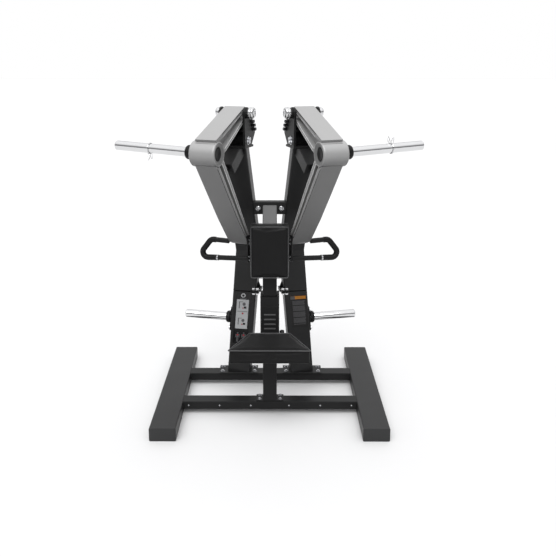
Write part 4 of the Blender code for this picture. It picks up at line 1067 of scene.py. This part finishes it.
def build_seat():
    top = 0.476
    ya, yb = Yd(3.792), Yd(4.034)
    # base cushion form, 5 mm inside its final size so the swelling fills it
    def outline(inset, r, z):
        wa, wb = 0.2245 - inset, 0.116 - inset
        y0, y1 = ya + inset, yb - inset
        pts = [(-wa, y0), (wa, y0), (wb, y1), (-wb, y1)]
        out = []
        for k in range(4):
            p, a, b = Vector(pts[k]), Vector(pts[k - 1]), Vector(pts[(k + 1) % 4])
            da, db = (a - p).normalized(), (b - p).normalized()
            for i in range(5):
                t = i / 4
                q = (p + da * r) * (1 - t) ** 2 + p * 2 * t * (1 - t) + (p + db * r) * t ** 2
                out.append((q.x, q.y, z))
        return out
    rings = []
    for z, inset in ((top + 0.0005, 0.0045), (top + 0.004, 0.0025), (top + 0.012, 0.0020), (0.545, 0.0020),
                     (0.5515, 0.0030), (0.5555, 0.0060), (0.5572, 0.0110)):
        rings.append(outline(inset, 0.009, z))
    ob = pad_start("seat_cushion_detail", rings)

    def flat(v):
        v.co.z = max(v.co.z, top + 0.0004)
        v.co.z = min(v.co.z, 0.5625)
        v.co.y = max(v.co.y, ya - 0.002)
        v.co.z += crease_noise(v.co, 0.0006, 14)
    puff(ob, 0.005, 3.0, 0.0028, flat)
    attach(ob, "seat")
    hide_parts("seat_cushion")
    # piping round the top edge in a lighter vinyl that paints its highlight line, and the stitched seam below it
    line = outline(0.0012, 0.008, 0.5535)
    pts = [Vector(p) for p in line]
    build_welt("seat_piping", pts, 0.0027, "piping_painted_highlight", "seat", "upholstery")
    line = outline(0.0004, 0.009, top + 0.0075)
    build_welt("seat_lower_seam", [Vector(p) for p in line], 0.0008, "upholstery", "seat", "upholstery")
    # T-nut bolts under the cushion
    parts = []
    for x, d in ((-0.100, 3.86), (0.100, 3.86), (-0.060, 3.99), (0.060, 3.99)):
        parts.append(hex_bolt((x, Yd(d), top - 0.0066), (0, 0, -1), 0.0160, 0.0060))
    piece("seat_bolts", *merge(parts), "black_oxide", "seat")


def build_welt(name, pts, radius, mat, body, slot):
    """Closed round bead through the points."""
    n = len(pts)
    dense = []
    for k in range(n):
        a, b = pts[k], pts[(k + 1) % n]
        m = max(1, int((b - a).length / 0.006))
        for i in range(m):
            dense.append(a.lerp(b, i / m))
    seg = 10
    rings = []
    m = len(dense)
    for k, p in enumerate(dense):
        t = (dense[(k + 1) % m] - dense[k - 1]).normalized()
        ref = Vector((0, 0, 1)) if abs(t.z) < 0.9 else Vector((0, 1, 0))
        a = t.cross(ref).normalized()
        b = t.cross(a).normalized()
        rings.append([tuple(p + a * (radius * math.cos(2 * math.pi * i / seg))
                            + b * (radius * math.sin(2 * math.pi * i / seg))) for i in range(seg)])
    verts = [v for r in rings for v in r]
    faces = []
    for k in range(m):
        for i in range(seg):
            j = (i + 1) % seg
            k2 = (k + 1) % m
            faces.append((k * seg + i, k * seg + j, k2 * seg + j, k2 * seg + i))
    return piece(name, verts, faces, mat, body, angle=80, slot=slot)


def build_chest_pad():
    y_front, y_back = Yd(4.026), Yd(4.1215)
    zc, h, w = 1.030, 0.302, 0.216

    def outline(inset, r, y):
        out = []
        for cx, cz, a0 in ((w / 2 - inset - r, h / 2 - inset - r, 0), (-w / 2 + inset + r, h / 2 - inset - r, 90),
                           (-w / 2 + inset + r, -h / 2 + inset + r, 180), (w / 2 - inset - r, -h / 2 + inset + r, 270)):
            for i in range(6):
                a = math.radians(a0 + 90 * i / 5)
                out.append((cx + r * math.cos(a), y, zc + cz + r * math.sin(a)))
        return out
    rings = []
    for y, inset in ((y_front + 0.0026, 0.0100), (y_front + 0.0038, 0.0052), (y_front + 0.0070, 0.0032),
                     (y_front + 0.0110, 0.0026), (y_back - 0.012, 0.0028), (y_back - 0.004, 0.0050),
                     (y_back - 0.0005, 0.0090)):
        rings.append(outline(inset, 0.010, y))
    ob = pad_start("chest_pad_detail", rings)

    def flat(v):
        v.co.y = min(v.co.y, y_back - 0.0003)
        v.co.y = max(v.co.y, y_front - 0.0015)
        v.co.x = max(-w / 2 - 0.0004, min(w / 2 + 0.0004, v.co.x))
        v.co.y += crease_noise(v.co, 0.0005, 14)
    puff(ob, 0.005, 3.0, 0.0035, flat)
    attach(ob, "base_frame")
    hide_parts("chest_pad")
    # chest pad piping and rear seam in the lighter vinyl: painted highlight lines
    pts = [Vector(p) for p in outline(0.0042, 0.010, y_front + 0.0048)]
    build_welt("chest_pad_piping", pts, 0.0026, "piping_painted_highlight", "base_frame", "upholstery")
    pts = [Vector(p) for p in outline(0.0020, 0.010, y_back - 0.0090)]
    build_welt("chest_pad_rear_seam", pts, 0.0010, "piping_painted_highlight", "base_frame", "upholstery")


def build_carriage():
    cy = Yd(4.131) + 0.040
    front = cy - 0.0535
    spec = []
    for z in (0.632, 0.603, 0.574, 0.547):
        spec.append(((-0.034, 0.034), (front - 0.0030, front + 0.0005), (z - 0.0045, z + 0.0045)))
    # the ribs use the lighter powder copy: painted highlight on their lit tops
    ribs = piece("carriage_ribs", *boxes(spec), "powder_light", "seat", slot="powder_dark")
    soften(ribs, 0.0018, 3)
    # raised front panel, a lip round its top and plastic glide strips on the sides
    panel = piece("carriage_front_panel", *boxes([((-0.046, 0.046), (front - 0.0012, front + 0.0005), (0.500, 0.662)),
                                                 ((-0.050, 0.050), (front - 0.0022, front + 0.0005), (0.668, 0.684))]),
                  "powder_dark", "seat", slot="powder_dark")
    soften(panel, 0.0006, 2)
    glides = piece("carriage_glide_rims", *boxes([((-0.0548, -0.0424), (front + 0.0006, cy + 0.0529), (0.7392, 0.7432)),
                                                 ((0.0424, 0.0548), (front + 0.0006, cy + 0.0529), (0.7392, 0.7432))]),
                   "black_plastic", "seat", slot="black_plastic")
    soften(glides, 0.0010, 3)
    # pull knob
    prof = [(0, 0), (0, 0.0045), (0.0015, 0.0060), (0.0165, 0.0060), (0.0165, 0.0105), (0.0195, 0.0158),
            (0.0250, 0.0165), (0.0380, 0.0165), (0.0425, 0.0130), (0.0430, 0.0080), (0.0430, 0)]
    knob = piece("seat_pull_pin_detail", *lathe((0.0420, cy, 0.500), (1, 0, 0), rounded_profile(prof, 0.0015, 4), 48),
                 "black_plastic", "seat_pin", angle=45, slot="black_plastic")
    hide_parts("seat_pull_pin")
    housing = rounded_profile([(0.0552, 0.0068), (0.0552, 0.0125), (0.0572, 0.0125), (0.0572, 0.0068)], 0.0006, 2)
    piece("pull_pin_bush", *lathe((0, cy, 0.500), (1, 0, 0), housing, 36), "zinc", "seat", angle=45, slot="chrome")


# ------------------------------------------------------------------ build
build_frame_details()
build_labels()
build_seat()
build_chest_pad()
build_carriage()
for side, s in SIDES:
    build_pivot(side, s)
    build_storage(side, s)
    along, axis = build_arm(side, s)
    build_clip(side, s, along, axis, 0.247 if s < 0 else 0.2595)

# ------------------------------------------------------------------ stage
floor_mat = bpy.data.materials.new("studio_floor")
floor_mat.use_nodes = True
fb = floor_mat.node_tree.nodes["Principled BSDF"]
fb.inputs["Base Color"].default_value = (0.68, 0.68, 0.682, 1)
fb.inputs["Roughness"].default_value = 0.9
fb.inputs["Specular IOR Level"].default_value = 0.05
ft = floor_mat.node_tree
dull = ft.nodes.new("ShaderNodeBsdfDiffuse")
dull.inputs["Color"].default_value = (0.13, 0.13, 0.132, 1)
see = ft.nodes.new("ShaderNodeLightPath")
either = ft.nodes.new("ShaderNodeMixShader")
seen = ft.nodes.new("ShaderNodeMath")
seen.operation = "MAXIMUM"
ft.links.new(see.outputs["Is Camera Ray"], seen.inputs[0])
ft.links.new(see.outputs["Is Glossy Ray"], seen.inputs[1])
ft.links.new(seen.outputs["Value"], either.inputs["Fac"])
ft.links.new(dull.outputs["BSDF"], either.inputs[1])
ft.links.new(fb.outputs["BSDF"], either.inputs[2])
ft.links.new(either.outputs["Shader"], ft.nodes["Material Output"].inputs["Surface"])
mesh = bpy.data.meshes.new("studio_floor")
mesh.from_pydata([(-60, -60, 0), (60, -60, 0), (60, 60, 0), (-60, 60, 0)], [], [(0, 1, 2, 3)])
floor = bpy.data.objects.new("studio_floor", mesh)
mesh.materials.append(floor_mat)
bpy.context.scene.collection.objects.link(floor)

# studio light: one large soft ceiling that fades towards a darker horizon, seen as a plain pale backdrop
world = bpy.data.worlds.new("studio")
bpy.context.scene.world = world
world.use_nodes = True
wt = world.node_tree
bg = wt.nodes["Background"]
tc = wt.nodes.new("ShaderNodeTexCoord")
sep = wt.nodes.new("ShaderNodeSeparateXYZ")
wt.links.new(tc.outputs["Generated"], sep.inputs["Vector"])
ramp = wt.nodes.new("ShaderNodeValToRGB")
els = ramp.color_ramp.elements
els[0].position, els[0].color = 0.0, (0.16, 0.162, 0.168, 1)
els[1].position, els[1].color = 1.0, (1.0, 1.0, 1.0, 1)
for pos, v in ((0.22, 0.20), (0.42, 0.46), (0.60, 0.86), (0.75, 1.0)):
    e = els.new(pos)
    e.color = (v, v, v * 1.01, 1)
wt.links.new(sep.outputs["Z"], ramp.inputs["Fac"])
# a pale cyclorama wall behind the object
wall = wt.nodes.new("ShaderNodeMapRange")
wall.interpolation_type = "SMOOTHSTEP"
wall.inputs["From Min"].default_value = 0.30
wall.inputs["From Max"].default_value = 0.85
wall.inputs["To Min"].default_value = 0.0
wall.inputs["To Max"].default_value = 0.58
wt.links.new(sep.outputs["Y"], wall.inputs["Value"])
most = wt.nodes.new("ShaderNodeMix")
most.data_type = "RGBA"
most.blend_type = "LIGHTEN"
most.inputs["Factor"].default_value = 1.0
wt.links.new(ramp.outputs["Color"], most.inputs["A"])
wt.links.new(wall.outputs["Result"], most.inputs["B"])
wt.links.new(most.outputs["Result"], bg.inputs["Color"])
bg.inputs["Strength"].default_value = 1.2
backdrop = wt.nodes.new("ShaderNodeBackground")
backdrop.inputs["Color"].default_value = (1.0, 1.0, 1.0, 1)
backdrop.inputs["Strength"].default_value = 1.0
path = wt.nodes.new("ShaderNodeLightPath")
mix = wt.nodes.new("ShaderNodeMixShader")
wt.links.new(path.outputs["Is Camera Ray"], mix.inputs["Fac"])
wt.links.new(bg.outputs["Background"], mix.inputs[1])
wt.links.new(backdrop.outputs["Background"], mix.inputs[2])
wt.links.new(mix.outputs["Shader"], wt.nodes["World Output"].inputs["Surface"])
bpy.context.scene.view_settings.view_transform = "Standard"

sun = bpy.data.lights.new("soft_key", "SUN")
sun.energy = 2.3
sun.angle = math.radians(50)
key = bpy.data.objects.new("soft_key", sun)
bpy.context.scene.collection.objects.link(key)
key.rotation_euler = (math.radians(38), math.radians(-6), 0)

cam = bpy.data.cameras.new("camera")
cam.sensor_width = 36.0
cam.lens = 36.0 * 686.0 / 556.0
cam.shift_x = 0.0081
cam.shift_y = -0.165
cam.dof.use_dof = False
camera = bpy.data.objects.new("camera", cam)
bpy.context.scene.collection.objects.link(camera)
camera.location = (0.032, 0.345 + Y0, 2.100)
camera.rotation_euler = (math.radians(90 - 10.65), 0, math.radians(0.16))
bpy.context.scene.camera = camera

bpy.context.view_layer.update()
